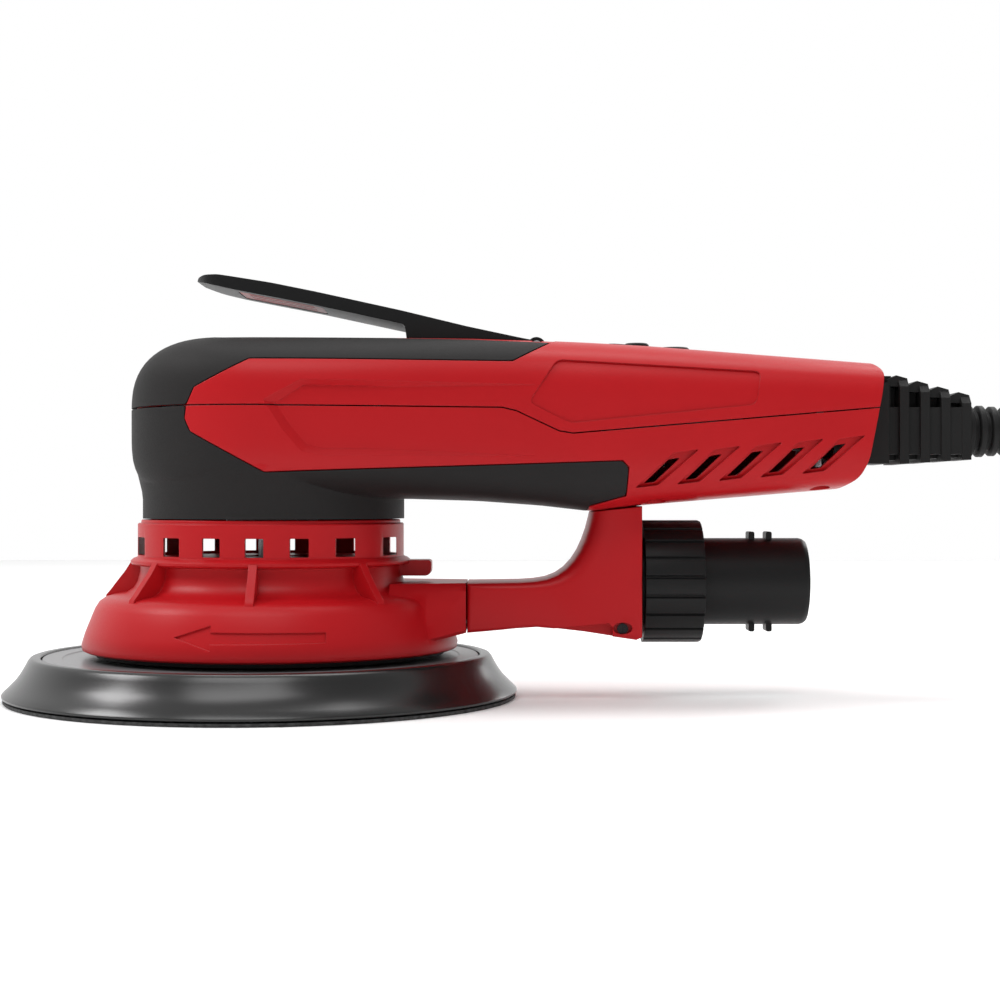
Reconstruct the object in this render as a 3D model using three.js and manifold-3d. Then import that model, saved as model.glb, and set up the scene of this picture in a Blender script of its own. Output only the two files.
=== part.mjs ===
// Random orbital sander: a 150 mm pad under a brushless motor, a shroud with a dust duct and hose port,
// a handle with a paddle lever, and a mains lead. Millimetres, +Z up, +X along the handle.
// The origin lies on the motor's axis, in the plane of the pad's working face.
import * as THREE from 'three';
import { mergeVertices } from 'three/addons/utils/BufferGeometryUtils.js';
import Module from 'manifold-3d';

const wasm = await Module();
wasm.setup();

// ---------------------------------------------------------------- driving dimensions

const GAP = 0.3; // air between two pieces that touch
const FAR = 400; // longer than anything it cuts

const ORBIT = 2.5; // from the motor's axis to the pad's axis
const PAD_X = -ORBIT;
const HOOK = { radius: 74.6, top: 1 };
const FOAM = { radius: 75, rim: 66.8, seat: 64, floor: 7.5, top: 12.8 };
const PLATE = { radius: 63.6, bottom: 7.8, top: 12.4 };
const HOLE_RINGS = [{ count: 6, pitch: 40 }, { count: 8, pitch: 58 }];
const HOLE_RADIUS = 4.6;

const SHAFT_RADIUS = 4;
const SHAFT_BORE = SHAFT_RADIUS + GAP;
const HUB = { radius: 17.5, neck: 12, bottom: 17, top: 41 };
const PAD_BEARING = { radius: 13, bore: 6.3, bottom: 17.5, top: 24.5 };
const SPINDLE = { radius: 6, flange: 11, bottom: 12.7, shoulder: 16.2, top: 24.4, bore: 4 };

const RING = { radius: 38.96, inner: 37, bottom: 41.5, top: 51.3 }; // the shroud's windowed upper ring
const WINDOWS = { count: 7, pitch: 12.15, width: 5.1, bottom: 42.1, top: 47.3 };
const RIBS = 8;
const SHROUD_SIDES = 32;
const SPLIT_X = 57.7; // where the duct plugs on to the shroud's stub
const DUCT = { half: 15.5, wall: 2.2, end: 108.3 };
const PORT_Z = 34;
const COLLAR = { start: 109.4, end: 126.5, radius: 18.05, bore: 13.1, lobes: 20, groove: 1.1 };
const PORT = { radius: 12.75, bore: 10.6, start: 104, end: 157.4, chamfer: 1.5 };

const HEAD = { radius: 40.75, waist: 82, top: 105.8, foot: 58.3, crown: -12, power: 2.5 };
const HANDLE = { half: 28.5, rearHalf: 25.5, start: 95, end: 181 };
// Squareness of the body's cross-section over and under its waist.
const BODY_POWER = { above: 3.4, below: 5 };
const BODY_SIDES = 24;
const SKIN = 1.2; // thickness of the soft grips
const WALL = 3.5; // thickness of the housing with its grip
const TOP_LINE = [[-60, 105.8], [80, 105.6], [181, 97.3]];
const BOTTOM_LINE = [
  [-60, 58.5], [41, 58.3], [61, 57.7], [79, 56.5], [94, 55.2], [109, 56.7], [169, 61.5], [181, 62.4],
];
const PARTING = [[-60, 84.4], [70, 83.9], [86.6, 76.6], [200, 86.3]];

const MOTOR = { can: 32, stator: 30, gap: 17.2, rotor: 16.5, bottom: 69, top: 85 };

const LEVER = { pivotX: 78, pivotZ: 102.3, half: 14, pin: 1.5, barrel: 2.7 };
const POCKET = { front: 34, rear: 83.5, half: 15.5, floor: 97 };

const LEAD_RADIUS = 3.75;
const SLEEVE = { start: 204.6, end: 240, z: 78.3, rings: 9, pitch: 3.6 };
const COIL = { x: 366, y: 56.25, base: 1.6, height: 30, inner: 30, outer: 60 };
const TIE_WIDTH = 12;
const PLUG = { width: 35, thickness: 15, length: 46, z: 40 };

// ---------------------------------------------------------------- finishes

const finish = (color, roughness, metalness) => new THREE.MeshStandardMaterial({ color, roughness, metalness });
const RED = finish('#c72f33', 0.42, 0);
const BLACK_SOFT = finish('#2f2f30', 0.75, 0);
const BLACK_HARD = finish('#262627', 0.5, 0);
const PAD_GREY = finish('#3a3a3b', 0.35, 0);
const PLATE_GREY = finish('#5c5c5e', 0.4, 0);
const STEEL = finish('#b9bbbe', 0.3, 1);
const LAMINATION = finish('#77797c', 0.5, 1);
const ALUMINIUM = finish('#c3c5c8', 0.38, 1);
const COPPER = finish('#b8703c', 0.35, 1);
const BOARD_GREEN = finish('#2c5a3a', 0.55, 0);
const LAMP = finish('#8fd46a', 0.2, 0);
const BRASS = finish('#c9a85a', 0.3, 1);

// ---------------------------------------------------------------- solids

/** Turns a closed geometry into a solid that can be joined and cut, with its faces pointing out. */
function solid(geometry) {
  const bare = geometry.clone();
  bare.deleteAttribute('normal');
  bare.deleteAttribute('uv');
  const merged = mergeVertices(bare, 1e-4);
  const vertices = merged.attributes.position.array;
  const corner = (index) => new THREE.Vector3().fromArray(vertices, index * 3);
  const triangles = [];
  let volume = 0;
  for (let i = 0; i < merged.index.count; i += 3) {
    const [a, b, c] = merged.index.array.slice(i, i + 3);
    if (a !== b && b !== c && c !== a) {
      triangles.push([a, b, c]);
      volume += corner(a).dot(corner(b).cross(corner(c)));
    }
  }
  const facing = triangles.map(([a, b, c]) => (volume > 0 ? [a, b, c] : [a, c, b]));
  const mesh = new wasm.Mesh({
    numProp: 3,
    vertProperties: Float32Array.from(vertices),
    triVerts: Uint32Array.from(facing.flat()),
  });
  return new wasm.Manifold(mesh);
}

function join(first, ...others) {
  return others.reduce((sum, other) => sum.add(other), first);
}

function cut(first, ...others) {
  return others.reduce((rest, other) => rest.subtract(other), first);
}

/** The main piece of a cut, without the slivers that a cut leaves beside it. */
function largest(body) {
  return body.decompose().reduce((best, piece) => (piece.volume() > best.volume() ? piece : best));
}

function extrusion(outline, depth) {
  const shape = new THREE.Shape(outline.map(([a, b]) => new THREE.Vector2(a, b)));
  return new THREE.ExtrudeGeometry(shape, { depth, bevelEnabled: false, steps: 1 });
}

/** A side outline in X and Z, run across from y0 to y1. */
function sidePrism(outline, y0, y1) {
  return solid(extrusion(outline, y1 - y0).rotateX(Math.PI / 2).translate(0, y1, 0));
}

/** A plan outline in X and Y, run up from z0 to z1. */
function planPrism(outline, z0, z1) {
  return solid(extrusion(outline, z1 - z0).translate(0, 0, z0));
}

/** A section in Y and Z, run along from x0 to x1. */
function sectionPrism(outline, x0, x1) {
  const axes = new THREE.Matrix4().makeBasis(
    new THREE.Vector3(0, 1, 0),
    new THREE.Vector3(0, 0, 1),
    new THREE.Vector3(1, 0, 0),
  );
  return solid(extrusion(outline, x1 - x0).applyMatrix4(axes).translate(x0, 0, 0));
}

function block(x, y, z) {
  const box = new THREE.BoxGeometry(x[1] - x[0], y[1] - y[0], z[1] - z[0]);
  return solid(box.translate((x[0] + x[1]) / 2, (y[0] + y[1]) / 2, (z[0] + z[1]) / 2));
}

/** An upright cylinder. */
function disc(radius, z0, z1, { x = 0, y = 0, sides = 24 } = {}) {
  const cylinder = new THREE.CylinderGeometry(radius, radius, z1 - z0, sides, 1);
  return solid(cylinder.rotateX(Math.PI / 2).translate(x, y, (z0 + z1) / 2));
}

/** A cylinder along X. */
function rodX(radius, x0, x1, { y = 0, z = 0, sides = 24 } = {}) {
  const cylinder = new THREE.CylinderGeometry(radius, radius, x1 - x0, sides, 1);
  return solid(cylinder.rotateZ(Math.PI / 2).translate((x0 + x1) / 2, y, z));
}

/** A cylinder along Y. */
function rodY(radius, y0, y1, { x = 0, z = 0, sides = 16 } = {}) {
  return solid(new THREE.CylinderGeometry(radius, radius, y1 - y0, sides, 1).translate(x, (y0 + y1) / 2, z));
}

function profilePoints(profile) {
  const points = profile.map(([radius, along]) => new THREE.Vector2(radius, along));
  if (profile[0][0] > 0) points.push(points[0].clone());
  return points;
}

/** A profile of [radius, z] pairs turned about an upright axis. */
function turned(profile, { x = 0, y = 0, sides = 48 } = {}) {
  return solid(new THREE.LatheGeometry(profilePoints(profile), sides).rotateX(Math.PI / 2).translate(x, y, 0));
}

/** A profile of [radius, x] pairs turned about an axis along X. */
function turnedX(profile, { z = 0, sides = 24 } = {}) {
  return solid(new THREE.LatheGeometry(profilePoints(profile), sides).rotateZ(-Math.PI / 2).translate(0, 0, z));
}

function ringSolid(outer, inner, z0, z1, options) {
  return turned([[inner, z0], [outer, z0], [outer, z1], [inner, z1]], options);
}

/** Turns a solid's geometry about the upright axis. */
function spun(makeGeometry, angle) {
  return solid(makeGeometry().rotateZ(angle));
}

/** A round tube along a list of points. */
function tube(points, radius, sides, steps) {
  const section = Array.from({ length: sides }, (_, i) => {
    const angle = (i / sides) * 2 * Math.PI;
    return new THREE.Vector2(radius * Math.cos(angle), radius * Math.sin(angle));
  });
  const places = points.map((point) => new THREE.Vector3(...point));
  const path = new THREE.CatmullRomCurve3(places, false, 'centripetal');
  const options = { steps, extrudePath: path, bevelEnabled: false };
  return solid(new THREE.ExtrudeGeometry(new THREE.Shape(section), options));
}

/** An outline moved inwards by a distance, each edge along its own normal. */
function shrunk(outline, distance) {
  const points = outline.map(([a, b]) => new THREE.Vector2(a, b));
  const turn = THREE.ShapeUtils.area(points) > 0 ? 1 : -1;
  return points.map((point, i) => {
    const before = point.clone().sub(points.at(i - 1)).normalize();
    const after = points[(i + 1) % points.length].clone().sub(point).normalize();
    const inward = new THREE.Vector2(-before.y - after.y, before.x + after.x).multiplyScalar(turn).normalize();
    const across = new THREE.Vector2(-before.y, before.x).multiplyScalar(turn);
    const moved = point.clone().addScaledVector(inward, distance / inward.dot(across));
    return [moved.x, moved.y];
  });
}

/** Value at x on a line through [x, value] knots. */
function along(knots, x) {
  const next = knots.findIndex(([knotX]) => knotX >= x);
  if (next < 1) return knots.at(next).at(1);
  const [x0, v0] = knots[next - 1];
  const [x1, v1] = knots[next];
  return v0 + ((v1 - v0) * (x - x0)) / (x1 - x0);
}

// ---------------------------------------------------------------- the whole sander

const sander = new THREE.Group();
sander.name = 'orbital_sander';

function add(name, body, material) {
  const { vertProperties, triVerts } = body.getMesh();
  const geometry = new THREE.BufferGeometry();
  geometry.setAttribute('position', new THREE.BufferAttribute(vertProperties, 3));
  geometry.setIndex(new THREE.BufferAttribute(triVerts, 1));
  geometry.computeVertexNormals();
  const piece = new THREE.Mesh(geometry, material);
  piece.name = name;
  sander.add(piece);
}

// ---------------------------------------------------------------- sanding pad

function padHoles(z0, z1, rings = HOLE_RINGS) {
  const holes = rings.flatMap(({ count, pitch }) => Array.from({ length: count }, (_, i) => {
    const angle = ((i + 0.5) / count) * 2 * Math.PI;
    return { x: PAD_X + pitch * Math.cos(angle), y: pitch * Math.sin(angle), sides: 6 };
  }));
  return holes.map((place) => disc(HOLE_RADIUS, z0, z1, place));
}

function addPad() {
  const about = { x: PAD_X };
  const hook = disc(HOOK.radius, 0, HOOK.top, { ...about, sides: 48 });
  add('hook_face', cut(hook, ...padHoles(-1, HOOK.top + 1)), BLACK_SOFT);

  const foam = turned([
    [0, HOOK.top + GAP], [FOAM.radius - 0.6, HOOK.top + GAP], [FOAM.radius, 2], [72, 5.2], [69.8, 7.7],
    [FOAM.rim, FOAM.top], [FOAM.seat, FOAM.top],
    [FOAM.seat, FOAM.floor], [10.4, FOAM.floor], [10.4, 4.2], [0, 4.2],
  ], about);
  add('foam_pad', cut(foam, ...padHoles(0, 20)), PAD_GREY);

  const plate = ringSolid(PLATE.radius, SPINDLE.bore, PLATE.bottom, PLATE.top, about);
  add('backing_plate', cut(plate, ...padHoles(0, 20, HOLE_RINGS.slice(0, 1))), PLATE_GREY);

  const stud = [[0, 4.6], [10, 4.6], [10, 7.4], [3.7, 7.4], [3.7, 22], [0, 22]];
  add('pad_stud', turned(stud, { ...about, sides: 16 }), STEEL);
}

// ---------------------------------------------------------------- drive between motor and pad

function addDrive() {
  add('spindle', turned([
    [SPINDLE.bore, SPINDLE.bottom], [SPINDLE.flange, SPINDLE.bottom], [SPINDLE.flange, SPINDLE.shoulder],
    [SPINDLE.radius, SPINDLE.shoulder], [SPINDLE.radius, SPINDLE.top], [SPINDLE.bore, SPINDLE.top],
  ], { x: PAD_X, sides: 20 }), STEEL);
  const { radius, bore, bottom, top } = PAD_BEARING;
  add('pad_bearing', ringSolid(radius, bore, bottom, top, { x: PAD_X, sides: 24 }), STEEL);

  const hub = turned([
    [0, HUB.bottom], [HUB.radius, HUB.bottom], [HUB.radius, 36.5],
    [HUB.neck, 37.8], [HUB.neck, HUB.top], [0, HUB.top],
  ], { sides: 24 });
  add('eccentric_hub', cut(
    hub,
    disc(PAD_BEARING.radius + GAP, HUB.bottom - 1, PAD_BEARING.top + GAP, { x: PAD_X, sides: 24 }),
    disc(SHAFT_BORE, 26.5, HUB.top + 1, { sides: 16 }),
  ), ALUMINIUM);

  const sector = new THREE.Shape();
  const reach = THREE.MathUtils.degToRad(80);
  sector.absarc(0, 0, 30, -reach, reach, false);
  sector.absarc(0, 0, HUB.radius + GAP, reach, -reach, true);
  const weight = new THREE.ExtrudeGeometry(sector, { depth: 7.5, bevelEnabled: false, steps: 1, curveSegments: 12 });
  add('counterweight', solid(weight.translate(0, 0, 28.5)), STEEL);

  const fanPlate = ringSolid(34, HUB.radius + GAP, 26, 27.5, { sides: 32 });
  const blades = Array.from({ length: 8 }, (_, i) => {
    const blade = () => new THREE.BoxGeometry(13.5, 1.6, 8.2).rotateZ(0.35).translate(26.6, 0, 22);
    return spun(blade, (i / 8) * 2 * Math.PI);
  });
  add('dust_fan', join(fanPlate, ...blades), BLACK_HARD);
}

// ---------------------------------------------------------------- motor

function addMotor() {
  add('motor_shaft', disc(SHAFT_RADIUS, 27, 98, { sides: 16 }), STEEL);
  add('rotor_core', ringSolid(MOTOR.rotor, SHAFT_BORE, 67, 87, { sides: 24 }), LAMINATION);

  const slots = Array.from({ length: 9 }, (_, i) => {
    const slot = () => new THREE.BoxGeometry(9.6, 5, 40).translate(21.4, 0, 77);
    return spun(slot, (i / 9) * 2 * Math.PI);
  });
  const core = ringSolid(MOTOR.stator, MOTOR.gap, MOTOR.bottom, MOTOR.top, { sides: 27 });
  add('stator_core', cut(core, ...slots), LAMINATION);
  const lowerWinding = [[18, 65], [26.5, 65], [28, 66], [28, 68.7], [18, 68.7]];
  add('lower_winding', turned(lowerWinding, { sides: 16 }), COPPER);
  const upperWinding = [[18, 85.3], [28, 85.3], [28, 87.6], [26.5, 88.8], [19.5, 88.8], [18, 87.6]];
  add('upper_winding', turned(upperWinding, { sides: 16 }), COPPER);
  add('motor_can', ringSolid(MOTOR.can, MOTOR.stator + GAP, 65, 90, { sides: 27 }), ALUMINIUM);

  const topPlate = turned([
    [5, 90.3], [MOTOR.can, 90.3], [MOTOR.can, 92.3], [12, 92.3],
    [12, 98.3], [9.8, 98.3], [9.8, 92.3], [5, 92.3],
  ], { sides: 24 });
  add('motor_top_plate', topPlate, ALUMINIUM);
  add('top_bearing', ringSolid(9.5, SHAFT_BORE, 92.6, 98, { sides: 20 }), STEEL);

  const bearingPlate = turned([
    [6, 48.3], [36.4, 48.3], [36.4, 51.2], [13.5, 51.2], [13.5, 57.3], [11.3, 57.3], [11.3, 50.2], [6, 50.2],
  ], { sides: 24 });
  const airways = Array.from({ length: 6 }, (_, i) => {
    const angle = (i / 6) * 2 * Math.PI;
    return disc(6, 47, 53, { x: 25 * Math.cos(angle), y: 25 * Math.sin(angle), sides: 8 });
  });
  add('bearing_plate', cut(bearingPlate, ...airways), ALUMINIUM);
  add('bottom_bearing', ringSolid(11, SHAFT_BORE, 50.5, 57, { sides: 20 }), STEEL);

  const fanDisc = ringSolid(31, SHAFT_BORE, 58.2, 59.7, { sides: 20 });
  const blades = Array.from({ length: 9 }, (_, i) => {
    const blade = () => new THREE.BoxGeometry(20, 1.5, 4.6).rotateZ(0.3).translate(20, 0, 61.8);
    return spun(blade, (i / 9) * 2 * Math.PI);
  });
  const fanHub = ringSolid(11.5, SHAFT_BORE, 58.2, 64, { sides: 16 });
  add('cooling_fan', join(fanDisc, fanHub, ...blades), BLACK_HARD);
}

// ---------------------------------------------------------------- dust shroud and duct

function stubSection(half, top, bottom, chamfer) {
  return [
    [-half + chamfer, bottom], [half - chamfer, bottom], [half, bottom + chamfer], [half, top - chamfer],
    [half - chamfer, top], [-half + chamfer, top], [-half, top - chamfer], [-half, bottom + chamfer],
  ];
}

function addShroud() {
  const skin = turned([
    [0, 14.2], [54.4, 14.2], [55, 16.3], [52.5, 23.3], [51.1, 26.7], [49, 29.9], [41.5, 31.4],
    [38.6, 34], [38.2, 38.9], [41, 39.6], [41, 40.5],
    [RING.radius, RING.bottom], [RING.radius, RING.top], [0, RING.top],
  ], { sides: SHROUD_SIDES });
  const ribs = Array.from({ length: RIBS }, (_, i) => i).filter((i) => i !== 2).map((i) => {
    const outline = [[36, 29], [48.6, 29.2], [48.6, 30.3], [46, 33.6], [43.3, 37], [41, 40.3], [36, 40.3]];
    const rib = () => extrusion(outline, 2).rotateX(Math.PI / 2).translate(0, 1, 0);
    return spun(rib, (i / RIBS) * 2 * Math.PI - Math.PI / 2);
  });
  const tab = block([36, 47.3], [-4, 4], [35.6, 40.4]);
  const stub = sectionPrism(stubSection(DUCT.half, 34, 19.6, 2.5), 36, SPLIT_X);
  const hollow = turned([
    [0, 13], [52.5, 13], [52.9, 16.3], [50.4, 23.3], [49, 26.4],
    [46.6, 28], [38.4, 28.6], [36.2, 39.5], [0, 39.5],
  ], { sides: SHROUD_SIDES });
  const windows = Array.from({ length: WINDOWS.count }, (_, i) => {
    const x = (i - (WINDOWS.count - 1) / 2) * WINDOWS.pitch;
    return block([x - WINDOWS.width / 2, x + WINDOWS.width / 2], [-FAR, FAR], [WINDOWS.bottom, WINDOWS.top]);
  });
  const channelSection = stubSection(DUCT.half - DUCT.wall, 34 - DUCT.wall, 19.6 + DUCT.wall, 2);
  const channel = sectionPrism(channelSection, 30, SPLIT_X + 1);
  add('shroud', cut(
    join(skin, tab, stub, ...ribs),
    hollow,
    disc(HUB.neck + 1, 38, 45, { sides: 24 }),
    disc(RING.inner, 41.3, 60, { sides: SHROUD_SIDES }),
    channel,
    ...windows,
  ), RED);
  add('brake_seal', ringSolid(51, 46, 12.9, 17.5, { sides: 36 }), BLACK_SOFT);
}

function addDuct() {
  const start = SPLIT_X + GAP;
  const outline = [
    [start, 19.7], [78, 21.5], [107, 17.8], [DUCT.end, 18.4],
    [DUCT.end, 56.1], [94.2, 54.8], [93.6, 51], [92, 47.2], [89.7, 41.5],
    [86.4, 37.6], [81, 34.6], [76, 34], [start, 34],
  ];
  const swell = planPrism([
    [start, -DUCT.half], [88, -DUCT.half], [100, -17.5],
    [DUCT.end, -17.5], [DUCT.end, 17.5], [100, 17.5], [88, DUCT.half],
    [start, DUCT.half],
  ], 0, FAR);
  const channel = sectionPrism(stubSection(DUCT.half - DUCT.wall, 34 - DUCT.wall, 21.8, 2), start - 1, 98);
  add('dust_duct', cut(
    sidePrism(outline, -20, 20).intersect(swell),
    channel,
    rodX(14.6, 96, DUCT.end + 1, { z: PORT_Z, sides: 32 }),
    rodY(2.6, -18, -12.2, { x: 102.8, z: 20.6, sides: 12 }),
    rodY(1.5, -13, -9, { x: 102.8, z: 20.6, sides: 8 }),
  ), RED);
  const screwPlace = { x: 102.8, z: 20.6 };
  const screwHead = rodY(2.2, -17, -15.2, { ...screwPlace, sides: 12 });
  const screw = join(screwHead, rodY(1.2, -15.5, -9.5, { ...screwPlace, sides: 8 }));
  add('duct_screw', screw, STEEL);
}

function addPort() {
  const steps = COLLAR.lobes * 4;
  const lobes = Array.from({ length: steps }, (_, i) => {
    const radius = i % 4 < 2 ? COLLAR.radius : COLLAR.radius - COLLAR.groove;
    const angle = ((i + (i % 2 ? 0.25 : -0.25)) / steps) * 2 * Math.PI;
    return [radius * Math.cos(angle), PORT_Z + radius * Math.sin(angle)];
  });
  const collar = sectionPrism(lobes, COLLAR.start, COLLAR.end);
  const collarBore = rodX(COLLAR.bore, COLLAR.start - 1, COLLAR.end + 1, { z: PORT_Z, sides: 32 });
  add('port_collar', cut(collar, collarBore), BLACK_HARD);

  const tubeBody = turnedX([
    [PORT.bore, PORT.start], [14.2, PORT.start], [14.2, 107.6],
    [PORT.radius, 107.6], [PORT.radius, PORT.end - PORT.chamfer],
    [PORT.radius - 0.9, PORT.end], [PORT.bore, PORT.end],
  ], { z: PORT_Z, sides: 32 });
  const keys = [141.5, 146.6].flatMap((x) => [1, -1].map((side) => {
    const z = PORT_Z + side * (PORT.radius + 0.5);
    return block([x - 0.85, x + 0.85], [-3.5, 3.5], [z - 1.5, z + 1.5]);
  }));
  add('port_tube', join(tubeBody, ...keys), BLACK_HARD);
}

// ---------------------------------------------------------------- housing

/** Half of the body's width in plan: a round head that narrows into the handle. */
function halfWidth(x, inset) {
  if (x < 0) return Math.sqrt(Math.max((HEAD.radius - inset) ** 2 - x ** 2, 0));
  if (x < HANDLE.start) {
    const ease = 0.5 + 0.5 * Math.cos((Math.PI * x) / HANDLE.start);
    return HANDLE.half + (HEAD.radius - HANDLE.half) * ease - inset;
  }
  const back = (x - HANDLE.start) / (HANDLE.end - HANDLE.start);
  return HANDLE.half + (HANDLE.rearHalf - HANDLE.half) * back - inset;
}

/** Cross-sections of the head and handle from nose to rear, moved inwards by inset. */
function bodyStations(inset) {
  const nose = [0.995, 0.95, 0.85, 0.68, 0.4].map((reach) => {
    const share = (1 - reach ** HEAD.power) ** (1 / HEAD.power);
    const x = HEAD.crown - (HEAD.radius + HEAD.crown - inset) * reach;
    return { x, up: (HEAD.top - HEAD.waist - inset) * share, down: (HEAD.waist - HEAD.foot - inset) * share };
  });
  const handle = [-12, 4, 22, 41, 60, 80, 94, 109, 142, 181].map((x) => (
    { x, up: along(TOP_LINE, x) - HEAD.waist - inset, down: HEAD.waist - along(BOTTOM_LINE, x) - inset }
  ));
  return [...nose, ...handle];
}

/** Head and handle as one skin: a cylinder whose rings take the shape of each cross-section. */
function bodySkin(inset) {
  const stations = bodyStations(inset);
  const last = stations.length - 1;
  const geometry = new THREE.CylinderGeometry(1, 1, 1, BODY_SIDES, last);
  const place = geometry.attributes.position;
  const squared = (value, power) => Math.sign(value) * Math.abs(value) ** (2 / power);
  for (let i = 0; i < place.count; i += 1) {
    const { x, up, down } = stations[Math.round((0.5 - place.getY(i)) * last)];
    const reach = Math.hypot(place.getX(i), place.getZ(i));
    const angle = Math.atan2(place.getZ(i), place.getX(i));
    const isAbove = Math.sin(angle) > 0;
    const power = isAbove ? BODY_POWER.above : BODY_POWER.below;
    const rise = squared(Math.sin(angle), power) * (isAbove ? up : down);
    place.setXYZ(i, x, halfWidth(x, inset) * reach * squared(Math.cos(angle), power), HEAD.waist + reach * rise);
  }
  return solid(geometry);
}

/** The round neck over the shroud; foot is how far down it goes. */
function neckSkin(inset, foot) {
  const profile = [[0, foot], [37.5, foot], [37.6, 60.5], [38.5, 64.2], [35, 69], [0, 69]];
  return turned(profile.map(([radius, z]) => [Math.max(radius - inset, 0), z]), { sides: 28 });
}

function bodySolid(inset, foot) {
  const back = [[166, 50], [171.8, 68.4], [176.9, 97], [176.3, 110]].map(([x, z]) => [x - inset, z]);
  const rear = sidePrism([...back, [FAR, 110], [FAR, 50]], -60, 60);
  return cut(join(bodySkin(inset), neckSkin(inset, foot)), rear);
}

const PANEL_LEFT = [[-16.6, 89.3], [-18.9, 83.1], [-19.6, 80.6], [-17.9, 77], [2.9, 65.8]];
const UPPER_GRIP = [
  [-60, 84.4], [-18.6, 84.2], [-16.6, 89.3], [-1.5, 96.9], [71.1, 96.9], [84, 106.5], [84, 120], [-60, 120],
];
const LOWER_GRIP = [
  [-60, 84.4], [-60, 40], [92, 40], [92.9, 56.2], [103.2, 59.1], [103.8, 67.2], [102, 69.2], [12.7, 66.2],
  ...PANEL_LEFT.slice().reverse().slice(0, 4), [-18.6, 84.2],
];

function partingSide(offset, far) {
  const line = PARTING.map(([x, z]) => [x, z + offset]);
  return sidePrism([...line, [200, far], [-60, far]], -60, 60);
}

function screwPlaces() {
  return [[112, 18], [112, -18], [159, 17.5], [159, -17.5]];
}

/** Slanted slots through both side walls, clear of the screw posts inside. */
function vents() {
  return Array.from({ length: 5 }, (_, i) => i).flatMap((i) => {
    const x = 107 + 11.7 * i;
    const z = 62.6 + i;
    const slot = [[x, z], [x + 4.6, z + 0.6], [x + 14.8, z + 9.4], [x + 10.2, z + 9]];
    return [sidePrism(slot, 22.2, 60), sidePrism(slot, -60, -22.2)];
  });
}

/** The space outside the shells' own surface where a soft grip lies. */
function gripBed(region) {
  return cut(sidePrism(region, -60, 60), bodySolid(SKIN + 2 * GAP, 40));
}

function gripLayer(outer, region) {
  return cut(outer.intersect(sidePrism(shrunk(region, GAP), -60, 60)), bodySolid(SKIN, 40));
}

function addHousing() {
  const outer = bodySolid(0, 52.6);
  const core = bodySolid(WALL, 40);
  const leverTop = (gap) => block([38 - gap, FAR], [-18.2 - gap, 18.2 + gap], [90, FAR]);
  add('upper_grip', largest(cut(gripLayer(outer, UPPER_GRIP), leverTop(GAP))), BLACK_SOFT);
  add('lower_grip', largest(gripLayer(outer, LOWER_GRIP)), BLACK_SOFT);

  const places = screwPlaces();
  const tray = block([32, 90], [-18, 18], [95, 120]);
  const pocket = block([POCKET.front, POCKET.rear], [-POCKET.half, POCKET.half], [POCKET.floor, FAR]);
  const pinHole = rodY(LEVER.pin + GAP, -17.4, 17.4, { x: LEVER.pivotX, z: LEVER.pivotZ });
  const bootHole = block([165, FAR], [-11.3, 11.3], [69.7, 93.3]);
  const panelBed = sidePrism([[98.7, 101.2], [98.7, 120], [126.3, 120], [126.3, 99.2]], -11.3, 11.3);
  const buttonWell = block([102, 125.2], [-10.3, 10.3], [90, 120]);
  const sockets = places.map(([x, y]) => disc(3.6, 60, 120, { x, y, sides: 8 }));
  const threads = places.map(([x, y]) => disc(1.5, 70, 93, { x, y, sides: 8 }));
  const upper = cut(
    outer.intersect(partingSide(GAP / 2, 120)),
    cut(core, tray, ...sockets),
    pocket, pinHole, bootHole, panelBed, buttonWell,
    cut(gripBed(UPPER_GRIP), leverTop(0)),
    ...threads,
  );
  add('upper_shell', largest(upper), RED);

  const posts = places.map(([x, y]) => disc(4.2, 40, 120, { x, y, sides: 10 }));
  const heads = places.map(([x, y]) => disc(3, 40, 70, { x, y, sides: 10 }));
  const shanks = places.map(([x, y]) => disc(1.8, 60, 93, { x, y, sides: 8 }));
  const lower = cut(
    outer.intersect(partingSide(-GAP / 2, 30)),
    cut(core, ...posts),
    bootHole,
    gripBed(LOWER_GRIP),
    ...heads, ...shanks, ...vents(),
  );
  add('lower_shell', largest(lower), RED);

  places.forEach(([x, y], i) => {
    const screw = join(disc(2.7, 67.4, 69.7, { x, y, sides: 10 }), disc(1.2, 69, 91, { x, y, sides: 8 }));
    add(`housing_screw_${i + 1}`, screw, STEEL);
  });
}

// ---------------------------------------------------------------- controls on top of the handle

function addControls() {
  const panel = sidePrism([[99, 101.5], [99, 103.5], [126, 101.4], [126, 99.5]], -11, 11);
  const buttons = [
    { name: 'power_button', x: 119, y: 0, radius: 4.5, top: 103.1 },
    { name: 'speed_up_button', x: 107.5, y: 5.2, radius: 3.6, top: 103.9 },
    { name: 'speed_down_button', x: 107.5, y: -5.2, radius: 3.6, top: 103.9 },
  ];
  const holes = buttons.map(({ x, y, radius }) => disc(radius + 0.4, 90, 110, { x, y, sides: 16 }));
  const lampHole = block([100.8, 103], [-3, 3], [101, 110]);
  add('control_panel', cut(panel, ...holes, lampHole), BLACK_HARD);
  add('status_light', block([101.1, 102.7], [-2.7, 2.7], [101.5, 103.4]), LAMP);
  buttons.forEach(({ name, x, y, radius, top }) => {
    const flange = disc(radius + 1, 97.5, 98.7, { x, y, sides: 16 });
    add(name, join(disc(radius, 98, top, { x, y, sides: 16 }), flange), BLACK_SOFT);
  });
}

// ---------------------------------------------------------------- lever

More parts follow.
